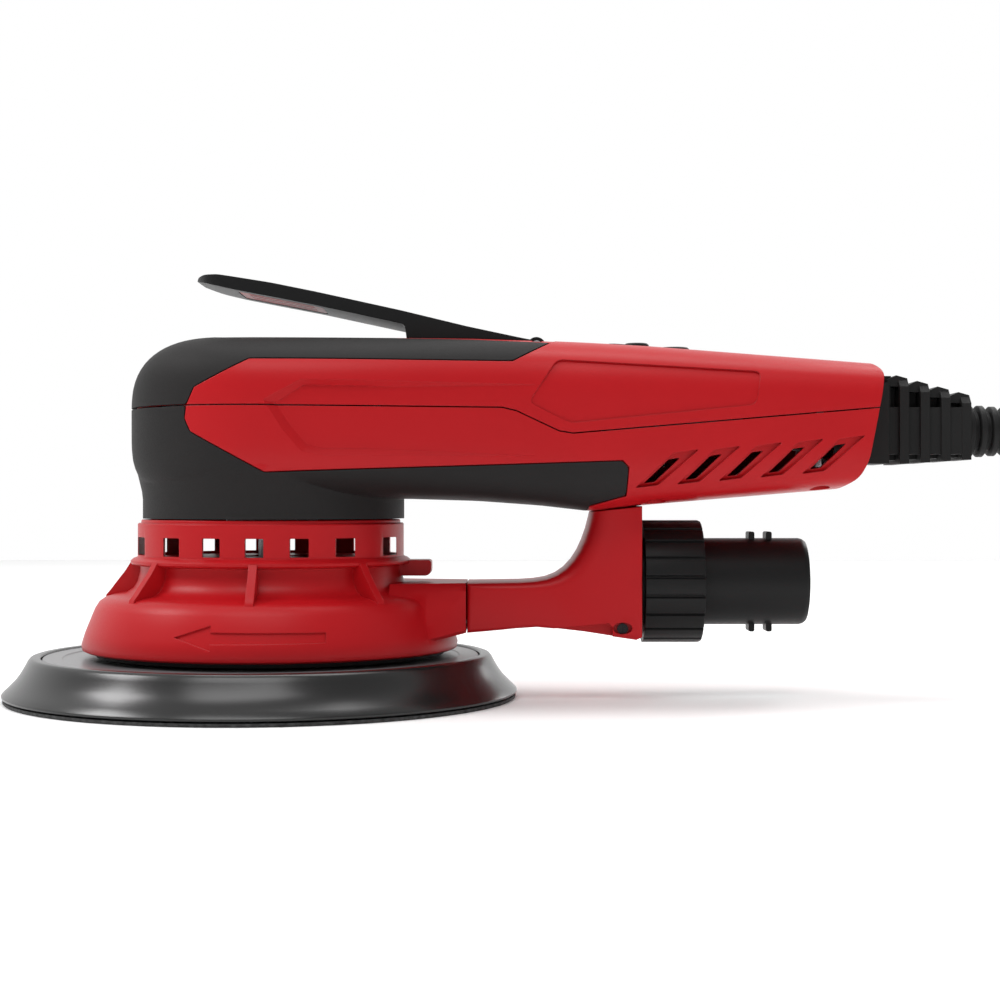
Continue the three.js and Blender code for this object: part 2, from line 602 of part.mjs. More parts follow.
function addLever() {
  const { pivotX: x, pivotZ: z } = LEVER;
  const side = sidePrism([
    [-21.2, 121.8], [-20.4, 123], [-16, 123.3], [-9, 122.4],
    [14.4, 118.1], [39, 112.7], [58, 108.1], [74, 104.7], [79.5, 103.7],
    [79.5, 101], [72, 101], [56, 104.5], [55, 101.4], [41, 101.4],
    [40, 108.5], [14.4, 114.1], [-9, 118.6], [-16, 120],
  ], -LEVER.half, LEVER.half);
  const plan = planPrism([
    [-21.5, -5], [-20.5, -8.5], [-18, -11.5], [-14, -13.5], [-9, -14],
    [FAR, -14], [FAR, 14], [-9, 14], [-14, 13.5], [-18, 11.5],
    [-20.5, 8.5], [-21.5, 5],
  ], 90, 130);
  const barrel = rodY(LEVER.barrel, -LEVER.half, LEVER.half, { x, z });
  const springRoom = block([x - 6, x + 6], [-7.5, 7.5], [90, 110]);
  const slot = block([-9, 16], [-9.5, 9.5], [100, 130]);
  const rearGap = block([x + LEVER.barrel + 0.2, FAR], [-20, 20], [90, 130]);
  add('lever', cut(
    join(side.intersect(plan), barrel),
    rearGap,
    springRoom,
    slot,
    rodY(LEVER.pin + GAP, -20, 20, { x, z }),
  ), BLACK_HARD);
  const insert = sidePrism([[-8.7, 118.8], [-8.7, 121.9], [15.7, 117.4], [15.7, 114.1]], -9.2, 9.2);
  add('lever_insert', insert, RED);
  add('lever_pin', rodY(LEVER.pin, -17.1, 17.1, { x, z, sides: 12 }), STEEL);

  const turns = 4;
  const coil = Array.from({ length: turns * 8 + 1 }, (_, i) => {
    const angle = (i / 8) * 2 * Math.PI;
    return [x + 2.5 * Math.cos(angle), -4.4 + (8.8 * i) / (turns * 8), z + 2.5 * Math.sin(angle)];
  });
  add('lever_spring', tube(coil, 0.55, 6, turns * 8), STEEL);
  add('lever_sensor', block([44, 52], [-4, 4], [91.6, 94.7]), BLACK_HARD);
}

// ---------------------------------------------------------------- electronics

function addElectronics() {
  add('control_board', block([45, 158], [-12, 12], [73, 74.6]), BOARD_GREEN);
  const finTop = 85;
  const fins = [[-11, 75], [11, 75], [11, finTop]];
  for (let i = 0; i < 4; i += 1) {
    const y = 9.4 - 5.1 * i;
    fins.push([y, finTop], [y, 78], [y - 3.5, 78], [y - 3.5, finTop]);
  }
  fins.push([-11, finTop]);
  add('heat_sink', sectionPrism(fins, 98, 138), ALUMINIUM);
  add('capacitor', rodX(6, 68, 92, { z: 81.2, sides: 16 }), BLACK_HARD);
  add('terminal_block', block([141, 149], [-8, 8], [75, 84]), BOARD_GREEN);
  add('inner_lead', rodX(3.4, 149.4, 168, { z: SLEEVE.z, sides: 10 }), BLACK_SOFT);
  const bridge = block([154, 160], [-11, 11], [75, 86]);
  add('cable_clamp', cut(bridge, rodX(3.7, 150, 170, { z: SLEEVE.z, sides: 12 })), BLACK_HARD);
}

// ---------------------------------------------------------------- mains lead

function addStrainRelief() {
  const step = (x0, x1, half, bottom, top, chamfer) => (
    sectionPrism(stubSection(half, top, bottom, chamfer), x0, x1)
  );
  const band = step(168.3, 204, 8.6, 71.5, 85, 1);
  const spine = [[168.3, 92.6], [183.4, 93.4], [204, 87.9], [204, 72], [168.3, 72]];
  const anchor = step(168.3, 181.6, 11, 70, 93, 1.5);
  const plates = Array.from({ length: 4 }, (_, i) => {
    const x = 183.4 + 6.1 * i;
    return step(x, x + 2.7, 11.2 - 0.5 * i, 68.5 + 0.4 * i, 94.3 - 1.6 * i, 2.5);
  });
  add('strain_relief_boot', join(band, sidePrism(spine, -5, 5), anchor, ...plates), BLACK_SOFT);

  const outline = [[0, SLEEVE.start]];
  for (let i = 0; i < SLEEVE.rings; i += 1) {
    const x = SLEEVE.start + SLEEVE.pitch * i;
    const radius = 7.9 - 0.28 * i;
    outline.push([radius, x], [radius, x + 2.1], [radius - 1.6, x + 2.5]);
  }
  outline.push([4.9, SLEEVE.end], [0, SLEEVE.end]);
  add('cable_sleeve', turnedX(outline, { z: SLEEVE.z, sides: 10 }), BLACK_SOFT);
}

/** The lead's hand-chosen route from the sleeve to the coil. */
const LEAD_ROUTE = [
  [240.3, 0, 78.3], [247, 0, 78.3], [255, 0, 77.5], [263, 0, 75.2],
  [271, 0, 70.9], [278.5, 0, 64.8], [284.8, 0, 57.4],
  [289.8, 0, 49], [294.2, 0, 40.2], [299, 0, 31.6], [304.8, 0, 23.6],
  [311.6, 0, 16.6], [319.6, 0, 11.2], [328.6, 0, 7.4],
  [336.3, 0, 5.8],
];

function addLead() {
  const { x, y, base, height, inner, outer } = COIL;
  add('mains_cord', tube(LEAD_ROUTE, LEAD_RADIUS, 8, 26), BLACK_SOFT);
  const corner = 4;
  const coil = turned([
    [inner + corner, base], [outer - corner, base], [outer, base + corner], [outer, base + height - corner],
    [outer - corner, base + height], [inner + corner, base + height],
    [inner, base + height - corner], [inner, base + corner],
  ], { x, y, sides: 32 });
  const frame = (margin) => {
    const [near, far] = [x - inner + 1 + margin, x - outer - 0.4 - margin];
    const [low, high] = [base - GAP - margin, base + height + GAP + margin];
    return [[near, low], [far, low], [far, high], [near, high]];
  };
  const strap = cut(
    sidePrism(frame(base - GAP), y - TIE_WIDTH / 2, y + TIE_WIDTH / 2),
    sidePrism(frame(0), y - TIE_WIDTH, y + TIE_WIDTH),
  );
  add('cord_coil', coil, BLACK_SOFT);
  add('cord_tie', strap, BLACK_HARD);

  const plugX = x + PLUG.length / 2;
  const plugY = y + 45;
  const half = PLUG.width / 2;
  const body = planPrism([
    [plugX, plugY - 6], [plugX, plugY + 6], [plugX - 12, plugY + half], [plugX - PLUG.length, plugY + half],
    [plugX - PLUG.length, plugY - half], [plugX - 12, plugY - half],
  ], PLUG.z - PLUG.thickness / 2, PLUG.z + PLUG.thickness / 2);
  add('plug_body', body, BLACK_SOFT);
  ['left', 'right'].forEach((side, i) => {
    const y1 = plugY + (i ? 9.5 : -9.5);
    const tip = plugX - PLUG.length - GAP - 19;
    add(`plug_pin_${side}`, rodX(2.4, tip, tip + 19, { y: y1, z: PLUG.z, sides: 12 }), BRASS);
  });
  const tail = [
    [x + 49, y + 6, 36.4], [x + 47.5, y + 16, 36.7],
    [x + 43.5, y + 26, 37.3], [x + 38, y + 35, 38.4], [x + 31.5, y + 41.6, 39.4],
    [plugX + 2.5, plugY - 0.8, PLUG.z],
  ];
  add('plug_lead', tube(tail, LEAD_RADIUS, 8, 12), BLACK_SOFT);
}

addPad();
addDrive();
addMotor();
addShroud();
addDuct();
addPort();
addHousing();
addControls();
addLever();
addElectronics();
addStrainRelief();
addLead();

export default sander;
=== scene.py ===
import math

import bmesh
import bpy
from mathutils import Matrix, Vector


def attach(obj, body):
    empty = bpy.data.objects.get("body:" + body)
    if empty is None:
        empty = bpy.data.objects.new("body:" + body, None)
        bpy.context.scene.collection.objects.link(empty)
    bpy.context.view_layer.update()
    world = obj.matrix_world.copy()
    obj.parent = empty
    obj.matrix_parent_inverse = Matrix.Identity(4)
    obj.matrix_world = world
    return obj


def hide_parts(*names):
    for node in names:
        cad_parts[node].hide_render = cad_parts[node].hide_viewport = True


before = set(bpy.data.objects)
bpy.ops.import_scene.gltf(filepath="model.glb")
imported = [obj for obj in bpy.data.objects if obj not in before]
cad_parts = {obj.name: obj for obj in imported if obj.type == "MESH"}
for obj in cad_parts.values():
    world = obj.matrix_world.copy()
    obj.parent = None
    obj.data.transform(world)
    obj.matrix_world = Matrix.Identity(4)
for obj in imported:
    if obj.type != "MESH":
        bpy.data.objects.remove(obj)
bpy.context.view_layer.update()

MM = 0.001  # every size below is in millimetres, and each finished mesh is scaled by this

CAMERA_PLACE = (67.5, -530, 58)
CAMERA_LENS = 64.44
FAR = 400  # past the object on any side, for blocks that cut all the way through

# ------------------------------------------------------------------ camera, light and floor


def place_camera():
    data = bpy.data.cameras.new("studio_camera")
    data.sensor_width = 36
    data.lens = CAMERA_LENS
    data.clip_end = 50
    camera = bpy.data.objects.new("studio_camera", data)
    camera.location = Vector(CAMERA_PLACE) * MM
    camera.rotation_euler = (math.radians(90), 0, 0)
    bpy.context.collection.objects.link(camera)
    bpy.context.scene.camera = camera


def area_light(name, place, target, size, power):
    data = bpy.data.lights.new(name, "AREA")
    data.shape = "RECTANGLE"
    data.size, data.size_y = size
    data.energy = power
    lamp = bpy.data.objects.new(name, data)
    lamp.location = place
    aim = Vector(target) - Vector(place)
    lamp.rotation_euler = aim.to_track_quat("-Z", "Y").to_euler()
    bpy.context.collection.objects.link(lamp)


def light_studio():
    """A white room, brighter behind the object than in front of it, with soft boxes over it and to its left."""
    world = bpy.data.worlds.new("studio")
    bpy.context.scene.world = world
    world.use_nodes = True
    tree = world.node_tree
    way = node(tree, "ShaderNodeSeparateXYZ", {"Vector": node(tree, "ShaderNodeTexCoord").outputs["Generated"]})
    strength = node(tree, "ShaderNodeMapRange", {
        "Value": way.outputs["Y"], "From Min": -0.3, "From Max": 0.6, "To Min": 0.42, "To Max": 1.0,
    }, interpolation_type="SMOOTHSTEP")
    tree.nodes["Background"].inputs["Color"].default_value = (1, 1, 1, 1)
    tree.links.new(strength.outputs["Result"], tree.nodes["Background"].inputs["Strength"])
    middle = (0.06, 0, 0.06)
    area_light("left_softbox", (-0.95, -0.1, 1.0), middle, (0.5, 0.35), 7)
    area_light("key_softbox", (-0.1, -0.7, 1.2), middle, (0.9, 0.5), 6)
    area_light("top_softbox", (0.1, 0.2, 1.3), middle, (1.0, 0.4), 6)
    area_light("rim_strip", (0.7, 0.8, 0.7), middle, (0.3, 1.0), 4)
    scene = bpy.context.scene
    scene.view_settings.view_transform = "Standard"
    scene.view_settings.look = "None"


def lay_floor():
    bm = bmesh.new()
    bmesh.ops.create_grid(bm, x_segments=1, y_segments=1, size=1.2)
    mesh = bpy.data.meshes.new("studio_floor")
    bm.to_mesh(mesh)
    bm.free()
    floor = bpy.data.objects.new("studio_floor", mesh)
    bpy.context.collection.objects.link(floor)
    mesh.materials.append(painted_floor())


# ------------------------------------------------------------------ materials


def linear(code):
    """An sRGB hex colour as linear light."""
    parts = [int(code[i:i + 2], 16) / 255 for i in (1, 3, 5)]
    return [c / 12.92 if c <= 0.04045 else ((c + 0.055) / 1.055) ** 2.4 for c in parts] + [1]


def node(tree, kind, inputs=None, **settings):
    """Adds one node. inputs maps a socket to a value or to another node's output."""
    made = tree.nodes.new(kind)
    for key, value in settings.items():
        setattr(made, key, value)
    for socket, value in (inputs or {}).items():
        if isinstance(value, bpy.types.NodeSocket):
            tree.links.new(value, made.inputs[socket])
        else:
            made.inputs[socket].default_value = value
    return made


def surface(name, shader):
    """A new material with its Principled shader set, ready for its patterns."""
    made = bpy.data.materials.new(name)
    made.use_nodes = True
    tree = made.node_tree
    principled = tree.nodes["Principled BSDF"]
    for socket, value in shader.items():
        principled.inputs[socket].default_value = value
    place = node(tree, "ShaderNodeTexCoord").outputs["Object"]
    return made, tree, principled, place


def two_tones(tree, share, first, second):
    """A colour between two hex colours, as share goes from 0 to 1."""
    mixed = node(tree, "ShaderNodeMix", {0: share, 6: linear(first), 7: linear(second)}, data_type="RGBA")
    return mixed.outputs[2]


def moulded_plastic(name, base, deep, roughness, grain, depth, shader=None, edge=0.35, vary=0.04):
    """Plastic from a tool: spark-eroded grain, faint flow in the colour, and softly broken edges.

    grain is the size of the texture's bumps, depth their height and edge the edges' radius, all in
    millimetres. vary is how far the roughness strays.
    """
    made, tree, principled, place = surface(name, shader or {})
    flow = node(tree, "ShaderNodeTexNoise", {"Vector": place, "Scale": 45, "Detail": 3})
    spark = node(tree, "ShaderNodeTexNoise", {"Vector": place, "Scale": 1000 / grain, "Detail": 2})
    rough = node(tree, "ShaderNodeMapRange", {
        "Value": spark.outputs["Fac"], "From Min": 0.3, "From Max": 0.7,
        "To Min": roughness - vary, "To Max": roughness + vary,
    })
    rounded_edge = node(tree, "ShaderNodeBevel", {"Radius": edge * MM}, samples=6)
    bump = node(tree, "ShaderNodeBump", {
        "Height": spark.outputs["Fac"], "Distance": depth * MM, "Strength": 0.5,
        "Normal": rounded_edge.outputs["Normal"],
    })
    tree.links.new(two_tones(tree, flow.outputs["Fac"], base, deep), principled.inputs["Base Color"])
    tree.links.new(rough.outputs["Result"], principled.inputs["Roughness"])
    tree.links.new(bump.outputs["Normal"], principled.inputs["Normal"])
    return made


def worked_metal(name, base, deep, roughness, scale, stretch):
    """Metal with fine tool marks: a noise stretched along the way that the tool ran."""
    made, tree, principled, place = surface(name, {"Metallic": 1.0})
    stretched = node(tree, "ShaderNodeMapping", {"Vector": place, "Scale": stretch})
    marks = node(tree, "ShaderNodeTexNoise", {
        "Vector": stretched.outputs["Vector"], "Scale": 1000 / scale, "Detail": 4,
    })
    rough = node(tree, "ShaderNodeMapRange", {
        "Value": marks.outputs["Fac"], "To Min": roughness - 0.08, "To Max": roughness + 0.1,
    })
    bump = node(tree, "ShaderNodeBump", {
        "Height": marks.outputs["Fac"], "Distance": 0.02 * MM, "Strength": 0.4,
    })
    tree.links.new(two_tones(tree, marks.outputs["Fac"], base, deep), principled.inputs["Base Color"])
    tree.links.new(rough.outputs["Result"], principled.inputs["Roughness"])
    tree.links.new(bump.outputs["Normal"], principled.inputs["Normal"])
    return made


def painted_floor():
    """A matt white painted board, with the slightest mottling."""
    made, tree, principled, place = surface("matt_white_board", {"Roughness": 0.7})
    mottle = node(tree, "ShaderNodeTexNoise", {"Vector": place, "Scale": 3})
    colour = two_tones(tree, mottle.outputs["Fac"], "#fbfbfb", "#f7f7f7")
    tree.links.new(colour, principled.inputs["Base Color"])
    return made


def hook_tape():
    """Moulded nylon hooks: rows of small dots, 1.6 mm apart, a little coarser than real so that they show. The
    colour has painted shade in the hollows between the hooks and is lighter on their tops, following the bump.
    """
    made, tree, principled, place = surface("moulded_hook_tape", {"Roughness": 0.8})
    cells = node(tree, "ShaderNodeTexVoronoi", {"Vector": place, "Scale": 1000 / 1.6})
    bump = node(tree, "ShaderNodeBump", {
        "Height": cells.outputs["Distance"], "Distance": 0.5 * MM, "Strength": 0.9,
    }, invert=True)
    # Painted shade: the colour runs from grey on each hook's top to near black in the hollows between the
    # hooks, following the bump's height.
    colour = two_tones(tree, cells.outputs["Distance"], "#4a4a4a", "#191919")
    tree.links.new(colour, principled.inputs["Base Color"])
    tree.links.new(bump.outputs["Normal"], principled.inputs["Normal"])
    return made


def make_materials():
    """One finish for each real one, matched to the sander."""
    satin = {"Specular IOR Level": 0.2}
    dry = {"Specular IOR Level": 0.17}
    clear = {"Transmission Weight": 0.3}
    plastic, metal = moulded_plastic, worked_metal
    return {
        # ABS from a lightly textured tool: saturated red, satin, with soft broad highlights.
        "red": plastic("satin_red_abs", "#b5131a", "#ae1118", 0.38, 0.5, 0.02, satin),
        # TPE over-moulded on the grip: charcoal, dry to the touch, so it scatters nearly all its light.
        "grip": plastic("matt_black_tpe", "#252323", "#1f1e1e", 0.62, 0.45, 0.06, dry, 0.3),
        # Glass-filled nylon: a harder, slightly glossier black than the grip.
        "nylon": plastic("black_glass_filled_nylon", "#1c1c1c", "#171718", 0.42, 0.6, 0.03, dry),
        # Polyurethane integral-skin foam: smooth dark skin with a silky sheen.
        "pad": plastic("polyurethane_integral_skin", "#1a1a1a", "#171717", 0.25, 0.4, 0.002, vary=0.01),
        # Grey glass-filled nylon of the pad's plate: smooth, and a little glossy.
        "plate": plastic("grey_glass_filled_nylon", "#6c6c6e", "#636365", 0.3, 0.5, 0.01, vary=0.02),
        # Moulded rubber of the boot and sleeve: black and dull.
        "rubber": plastic("moulded_black_rubber", "#202020", "#1a1a1a", 0.52, 0.5, 0.04, dry),
        # Extruded rubber sheath of the mains lead: black with a faint bloom.
        "sheath": plastic("rubber_cable_sheath", "#202020", "#191919", 0.5, 0.7, 0.05, dry),
        # Moulded nylon hooks under the pad: a dull field of fine dots, with painted shade in the hollows
        # between them.
        "hooks": hook_tape(),
        # Ground steel of shafts, bearings and screws: bright, with fine lines round it.
        "steel": metal("ground_steel", "#c4c5c8", "#a9abae", 0.28, 0.6, (1, 1, 6)),
        # Black-oxide steel of the small self-tapping screw: nearly black, half dull.
        "blackened": metal("black_oxide_steel", "#3a3638", "#282627", 0.4, 0.5, (1, 6, 1)),
        # Stacked electrical steel of the motor: grey, with the edges of its sheets as thin lines.
        "core": metal("stacked_electrical_steel", "#8a8c8f", "#5e6063", 0.5, 0.5, (0.1, 0.1, 4)),
        # Die-cast aluminium: pale grey, and evenly dull as it left the die.
        "cast": metal("die_cast_aluminium", "#c9cacc", "#b0b2b5", 0.42, 0.8, (1, 1, 1)),
        # Enamelled copper wire: warm brown, with the shine of its varnish.
        "copper": metal("enamelled_copper_wire", "#c27a43", "#8c4a22", 0.3, 0.9, (1, 1, 5)),
        # Turned brass of the plug's pins: yellow and bright.
        "brass": metal("turned_brass", "#d8b868", "#bd9a4c", 0.25, 0.5, (6, 1, 1)),
        # Green solder mask on a glass-fibre board: smooth and half glossy.
        "board": plastic("green_solder_mask", "#1f5a36", "#184a2c", 0.35, 1.2, 0.02),
        # Clear green polycarbonate of the status light: glossy, and lets some light through.
        "lens": plastic("clear_green_lens", "#9be07a", "#86cf66", 0.15, 1.5, 0.01, clear),
    }


# ------------------------------------------------------------------ mesh tools


def temporary(bm):
    """A bmesh as an object that booleans can use."""
    mesh = bpy.data.meshes.new("work")
    bm.to_mesh(mesh)
    bm.free()
    made = bpy.data.objects.new("work", mesh)
    bpy.context.collection.objects.link(made)
    return made


def boolean(target, others, operation="DIFFERENCE"):
    """Joins, cuts or intersects target with each other object, which are used up."""
    for other in others:
        step = target.modifiers.new("boolean", "BOOLEAN")
        step.operation = operation
        step.solver = "EXACT"
        step.object = other
        evaluated = target.evaluated_get(bpy.context.evaluated_depsgraph_get())
        result = bpy.data.meshes.new_from_object(evaluated)
        target.modifiers.clear()
        target.data = result
        bpy.data.objects.remove(other)
    return target


def copy_of(source):
    """A second object with its own mesh."""
    made = source.copy()
    made.data = source.data.copy()
    bpy.context.collection.objects.link(made)
    return made


def finish_piece(work, name, body, material, replaces=(), smooth=35):
    """Scales a finished mesh to metres, names it, and hands it to its body."""
    work.data.transform(Matrix.Scale(MM, 4))
    work.name = name
    work.data.name = name
    work.data.materials.clear()
    work.data.materials.append(MATERIALS[material])
    for face in work.data.polygons:
        face.use_smooth = True
    work.data.set_sharp_from_angle(angle=math.radians(smooth))
    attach(work, body)
    if replaces:
        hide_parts(*replaces)
    return work


def add_bevel(piece, width, segments=2, angle=35):
    step = piece.modifiers.new("broken_edges", "BEVEL")
    step.width = width * MM
    step.segments = segments
    step.limit_method = "ANGLE"
    step.angle_limit = math.radians(angle)
    step.harden_normals = False
    return piece


SIDE = Matrix(((1, 0, 0, 0), (0, 0, 1, 0), (0, 1, 0, 0), (0, 0, 0, 1)))  # outline x, z; run along y
PLAN = Matrix.Identity(4)  # outline x, y; run along z
SECTION = Matrix(((0, 0, 1, 0), (1, 0, 0, 0), (0, 1, 0, 0), (0, 0, 0, 1)))  # outline y, z; run along x


def prism(outline, low, high, way=SIDE):
    """A closed outline run from low to high."""
    bm = bmesh.new()
    ring = [bm.verts.new((a, b, low)) for a, b in outline]
    face = bm.faces.new(ring)
    grown = bmesh.ops.extrude_face_region(bm, geom=[face])
    top = [v for v in grown["geom"] if isinstance(v, bmesh.types.BMVert)]
    bmesh.ops.translate(bm, vec=(0, 0, high - low), verts=top)
    bmesh.ops.transform(bm, matrix=way, verts=bm.verts)
    bmesh.ops.recalc_face_normals(bm, faces=bm.faces)
    return temporary(bm)


def block(x, y, z):
    """A box from three pairs of ends."""
    return prism([(x[0], y[0]), (x[1], y[0]), (x[1], y[1]), (x[0], y[1])], z[0], z[1], PLAN)


def rounded(outline, radius, steps=5):
    """An outline with each corner turned into an arc, as far as its edges allow."""
    points = [Vector(p) for p in outline]
    result = []
    for i, corner in enumerate(points):
        before = points[i - 1] - corner
        after = points[(i + 1) % len(points)] - corner
        reach = min(radius, before.length * 0.45, after.length * 0.45)
        start = corner + before.normalized() * reach
        end = corner + after.normalized() * reach
        for k in range(steps + 1):
            t = k / steps
            result.append(tuple(start * (1 - t) ** 2 + corner * 2 * t * (1 - t) + end * t ** 2))
    return result


def lathe(profile, steps=96, x=0.0, along_x=False, height=0.0):
    """A profile of (radius, distance) pairs turned round an upright axis, or one along X."""
    bm = bmesh.new()
    verts = [bm.verts.new((max(r, 0), 0, d)) for r, d in profile]
    edges = [bm.edges.new(pair) for pair in zip(verts, verts[1:])]
    if profile[0][0] > 0:
        edges.append(bm.edges.new((verts[-1], verts[0])))
    bmesh.ops.spin(
        bm, geom=verts + edges, cent=(0, 0, 0), axis=(0, 0, 1), angle=math.tau, steps=steps, use_merge=True,
    )
    bmesh.ops.remove_doubles(bm, verts=bm.verts, dist=1e-4)
    bmesh.ops.recalc_face_normals(bm, faces=bm.faces)
    if along_x:
        quarter = Matrix.Rotation(math.radians(90), 3, "Y")
        bmesh.ops.rotate(bm, cent=(0, 0, 0), matrix=quarter, verts=bm.verts)
    bmesh.ops.translate(bm, vec=(x, 0, height), verts=bm.verts)
    return temporary(bm)


def circle(sides):
    """Places round a circle of radius 1."""
    return [(math.cos(math.tau * i / sides), math.sin(math.tau * i / sides)) for i in range(sides)]


def rod(radius, low, high, centre, way=PLAN, sides=32):
    """A cylinder; centre is its place in the plane of the outline."""
    return prism([(centre[0] + radius * a, centre[1] + radius * b) for a, b in circle(sides)], low, high, way)


def loft(layers):
    """Closed rings of equally many places, skinned one to the next and closed at both ends."""
    bm = bmesh.new()
    rings = [[bm.verts.new(place) for place in layer] for layer in layers]
    for low, high in zip(rings, rings[1:]):
        for i in range(len(low)):
            bm.faces.new((low[i - 1], low[i], high[i], high[i - 1]))
    caps = [bm.faces.new(rings[0][::-1]), bm.faces.new(rings[-1])]
    bmesh.ops.recalc_face_normals(bm, faces=bm.faces)
    bmesh.ops.triangulate(bm, faces=caps, quad_method="BEAUTY", ngon_method="EAR_CLIP")
    return temporary(bm)


def shrink(outline, distance):
    """An outline moved inwards by a distance, each corner along its own bisector."""
    points = [Vector(p) for p in outline]
    area = sum(a.x * b.y - b.x * a.y for a, b in zip(points, points[1:] + points[:1]))
    way = 1 if area > 0 else -1
    moved = []
    for i, point in enumerate(points):
        before = (point - points[i - 1]).normalized()
        after = (points[(i + 1) % len(points)] - point).normalized()
        inward = Vector((-before.y - after.y, before.x + after.x)).normalized() * way
        across = Vector((-before.y, before.x)) * way
        moved.append(point + inward * (distance / max(inward.dot(across), 0.3)))
    return moved


def split_edges(outline, step):
    """The same outline with extra places along its long edges, about a step apart."""
    result = []
    for a, b in zip(outline, list(outline[1:]) + [outline[0]]):
        a, b = Vector(a), Vector(b)
        count = max(1, round((b - a).length / step))
        result += [tuple(a.lerp(b, i / count)) for i in range(count)]
    return result


def turn(work, angle):
    """Turns a work object about the upright axis of the motor."""
    work.data.transform(Matrix.Rotation(angle, 4, "Z"))
    return work


# ------------------------------------------------------------------ mains lead

LEAD_RADIUS = 3.75
LEAD_ROUTE = [
    (240.3, 0, 78.3), (247, 0, 78.3), (255, 0, 77.5), (263, 0, 75.2), (271, 0, 70.9), (278.5, 0, 64.8),
    (284.8, 0, 57.4), (289.8, 0, 49), (294.2, 0, 40.2), (299, 0, 31.6), (304.8, 0, 23.6), (311.6, 0, 16.6),
    (319.6, 0, 11.2), (328.6, 0, 7.4), (336.3, 0, 5.8), (350, 0, 5.35),
]
COIL = {"x": 366, "y": 56.25, "base": 1.6, "outer_turn": 56.25, "columns": 4, "turns": 13, "steps": 28}
# Round the coil's axis: degrees, radius and lift of the rise; then places from the axis, up to the plug.
LEAD_RISE = [
    (-90, 41.25, 0), (-70, 41.4, 0.1), (-50, 42.3, 0.4), (-30, 44.2, 1.5), (-12, 46.5, 3.1), (4, 48.3, 5),
]
PLUG_TAIL = [(47.3, 14, 34.6), (44.3, 24, 36.6), (39.4, 33, 38.4), (33, 39.8, 39.6), (25.5, 44, 40)]
PLUG_Y, PLUG_Z = 45, 40  # the plug's middle, from the coil's axis and from the floor


def round_coil(radius, angle, height):
    return COIL["x"] + radius * math.cos(angle), COIL["y"] + radius * math.sin(angle), height


def coil_points():
    """The wound turns: layer on layer, in from the outside and out again, a diameter apart."""
    pitch = 2 * LEAD_RADIUS
    columns = COIL["columns"]
    points = []
    for turn_index in range(COIL["turns"]):
        layer, column = divmod(turn_index, columns)
        inward = layer % 2 == 0
        place = column if inward else columns - 1 - column
        last = column == columns - 1
        shift = 0 if last else (1 if inward else -1)
        for step in range(COIL["steps"]):
            share = step / COIL["steps"]
            move = min(max((share - 0.78) / 0.22, 0), 1)
            climb = min(max((share - 0.5) / 0.25, 0), 1) if last else 0
            ease = [value * value * (3 - 2 * value) for value in (move, climb)]
            radius = COIL["outer_turn"] - pitch * (place + shift * ease[0])
            angle = math.tau * (share - 0.25)
            height = COIL["base"] + LEAD_RADIUS + pitch * (layer + ease[1])
            points.append(round_coil(radius, angle, height))
    return points


def rise_to_plug():
    """From the top layer's last turn up to the lead's end on top of the coil."""
    start = COIL["base"] + LEAD_RADIUS * 7
    return [round_coil(radius, math.radians(degrees), start + lift) for degrees, radius, lift in LEAD_RISE]


def make_lead():
    points = LEAD_ROUTE + coil_points() + rise_to_plug()
    points += [(COIL["x"] + x, COIL["y"] + y, z) for x, y, z in PLUG_TAIL]
    curve = bpy.data.curves.new("mains_lead", "CURVE")
    curve.dimensions = "3D"
    spline = curve.splines.new("NURBS")
    spline.points.add(len(points) - 1)
    for point, place in zip(spline.points, points):
        point.co = (*[value * MM for value in place], 1)
    spline.order_u = 3
    spline.use_endpoint_u = True
    spline.resolution_u = 4
    curve.bevel_depth = LEAD_RADIUS * MM
    curve.bevel_resolution = 4
    curve.use_fill_caps = True
    lead = bpy.data.objects.new("mains_lead", curve)
    bpy.context.collection.objects.link(lead)
    curve.materials.append(MATERIALS["sheath"])
    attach(lead, "housing")
    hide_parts("mains_cord", "cord_coil", "plug_lead")
    return lead


def make_plug():
    """A flat two-pin plug: a waisted moulded body with grip ribs and a short tapered neck."""
    x, y, z = COIL["x"] + 23, COIL["y"] + PLUG_Y, PLUG_Z
    half = [(0, 5), (9, 9), (15, 16), (25, 17.2), (46, 17.2)]
    outline = [(x - back, y - side) for back, side in half]
    outline += [(x - back, y + side) for back, side in reversed(half)]
    body = prism(rounded(outline, 6), z - 7.2, z + 7.2, PLAN)
    grooves = []
    for i in range(4):
        middle = x - 14 - 3.2 * i
        span = (middle - 0.8, middle + 0.8)
        for side in (-1, 1):
            grooves.append(block(span, (y + side * 15, y + side * 19), (z - 5, z + 5)))
            grooves.append(block(span, (y - 9, y + 9), sorted((z + side * 6.6, z + side * 9))))
    boolean(body, grooves)
    plug = finish_piece(body, "plug_moulding", "housing", "rubber", ["plug_body"])
    return add_bevel(plug, 1.2, 3, 50)


def make_pin(side, node_name):
    x, y, z = COIL["x"] - 23.3, COIL["y"] + PLUG_Y + side * 9.5, PLUG_Z
    pin = lathe([(0, 0), (2.4, 0), (2.4, 17.4), (1.9, 18.6), (1.2, 19), (0, 19)], 32, along_x=True)
    pin.data.transform(Matrix.Translation((x, y, z)) @ Matrix.Rotation(math.pi, 4, "Z"))
    return finish_piece(pin, node_name + "_turned", "housing", "brass", [node_name])


def make_tie():
    """A woven strap round the bundle, drawn as one closed band."""
    x, y = COIL["x"], COIL["y"]
    outer = rounded([(x - 61.6, 0.1), (x - 27.8, 0.1), (x - 27.8, 33.1), (x - 61.6, 33.1)], 6, 8)
    inner = rounded([(x - 60.6, 1.1), (x - 28.8, 1.1), (x - 28.8, 32.1), (x - 60.6, 32.1)], 5.2, 8)
    strap = boolean(prism(outer, y - 6, y + 6), [prism(inner, y - 7, y + 7)])
    return finish_piece(strap, "hook_and_loop_tie", "housing", "grip", ["cord_tie"])


# ------------------------------------------------------------------ housing

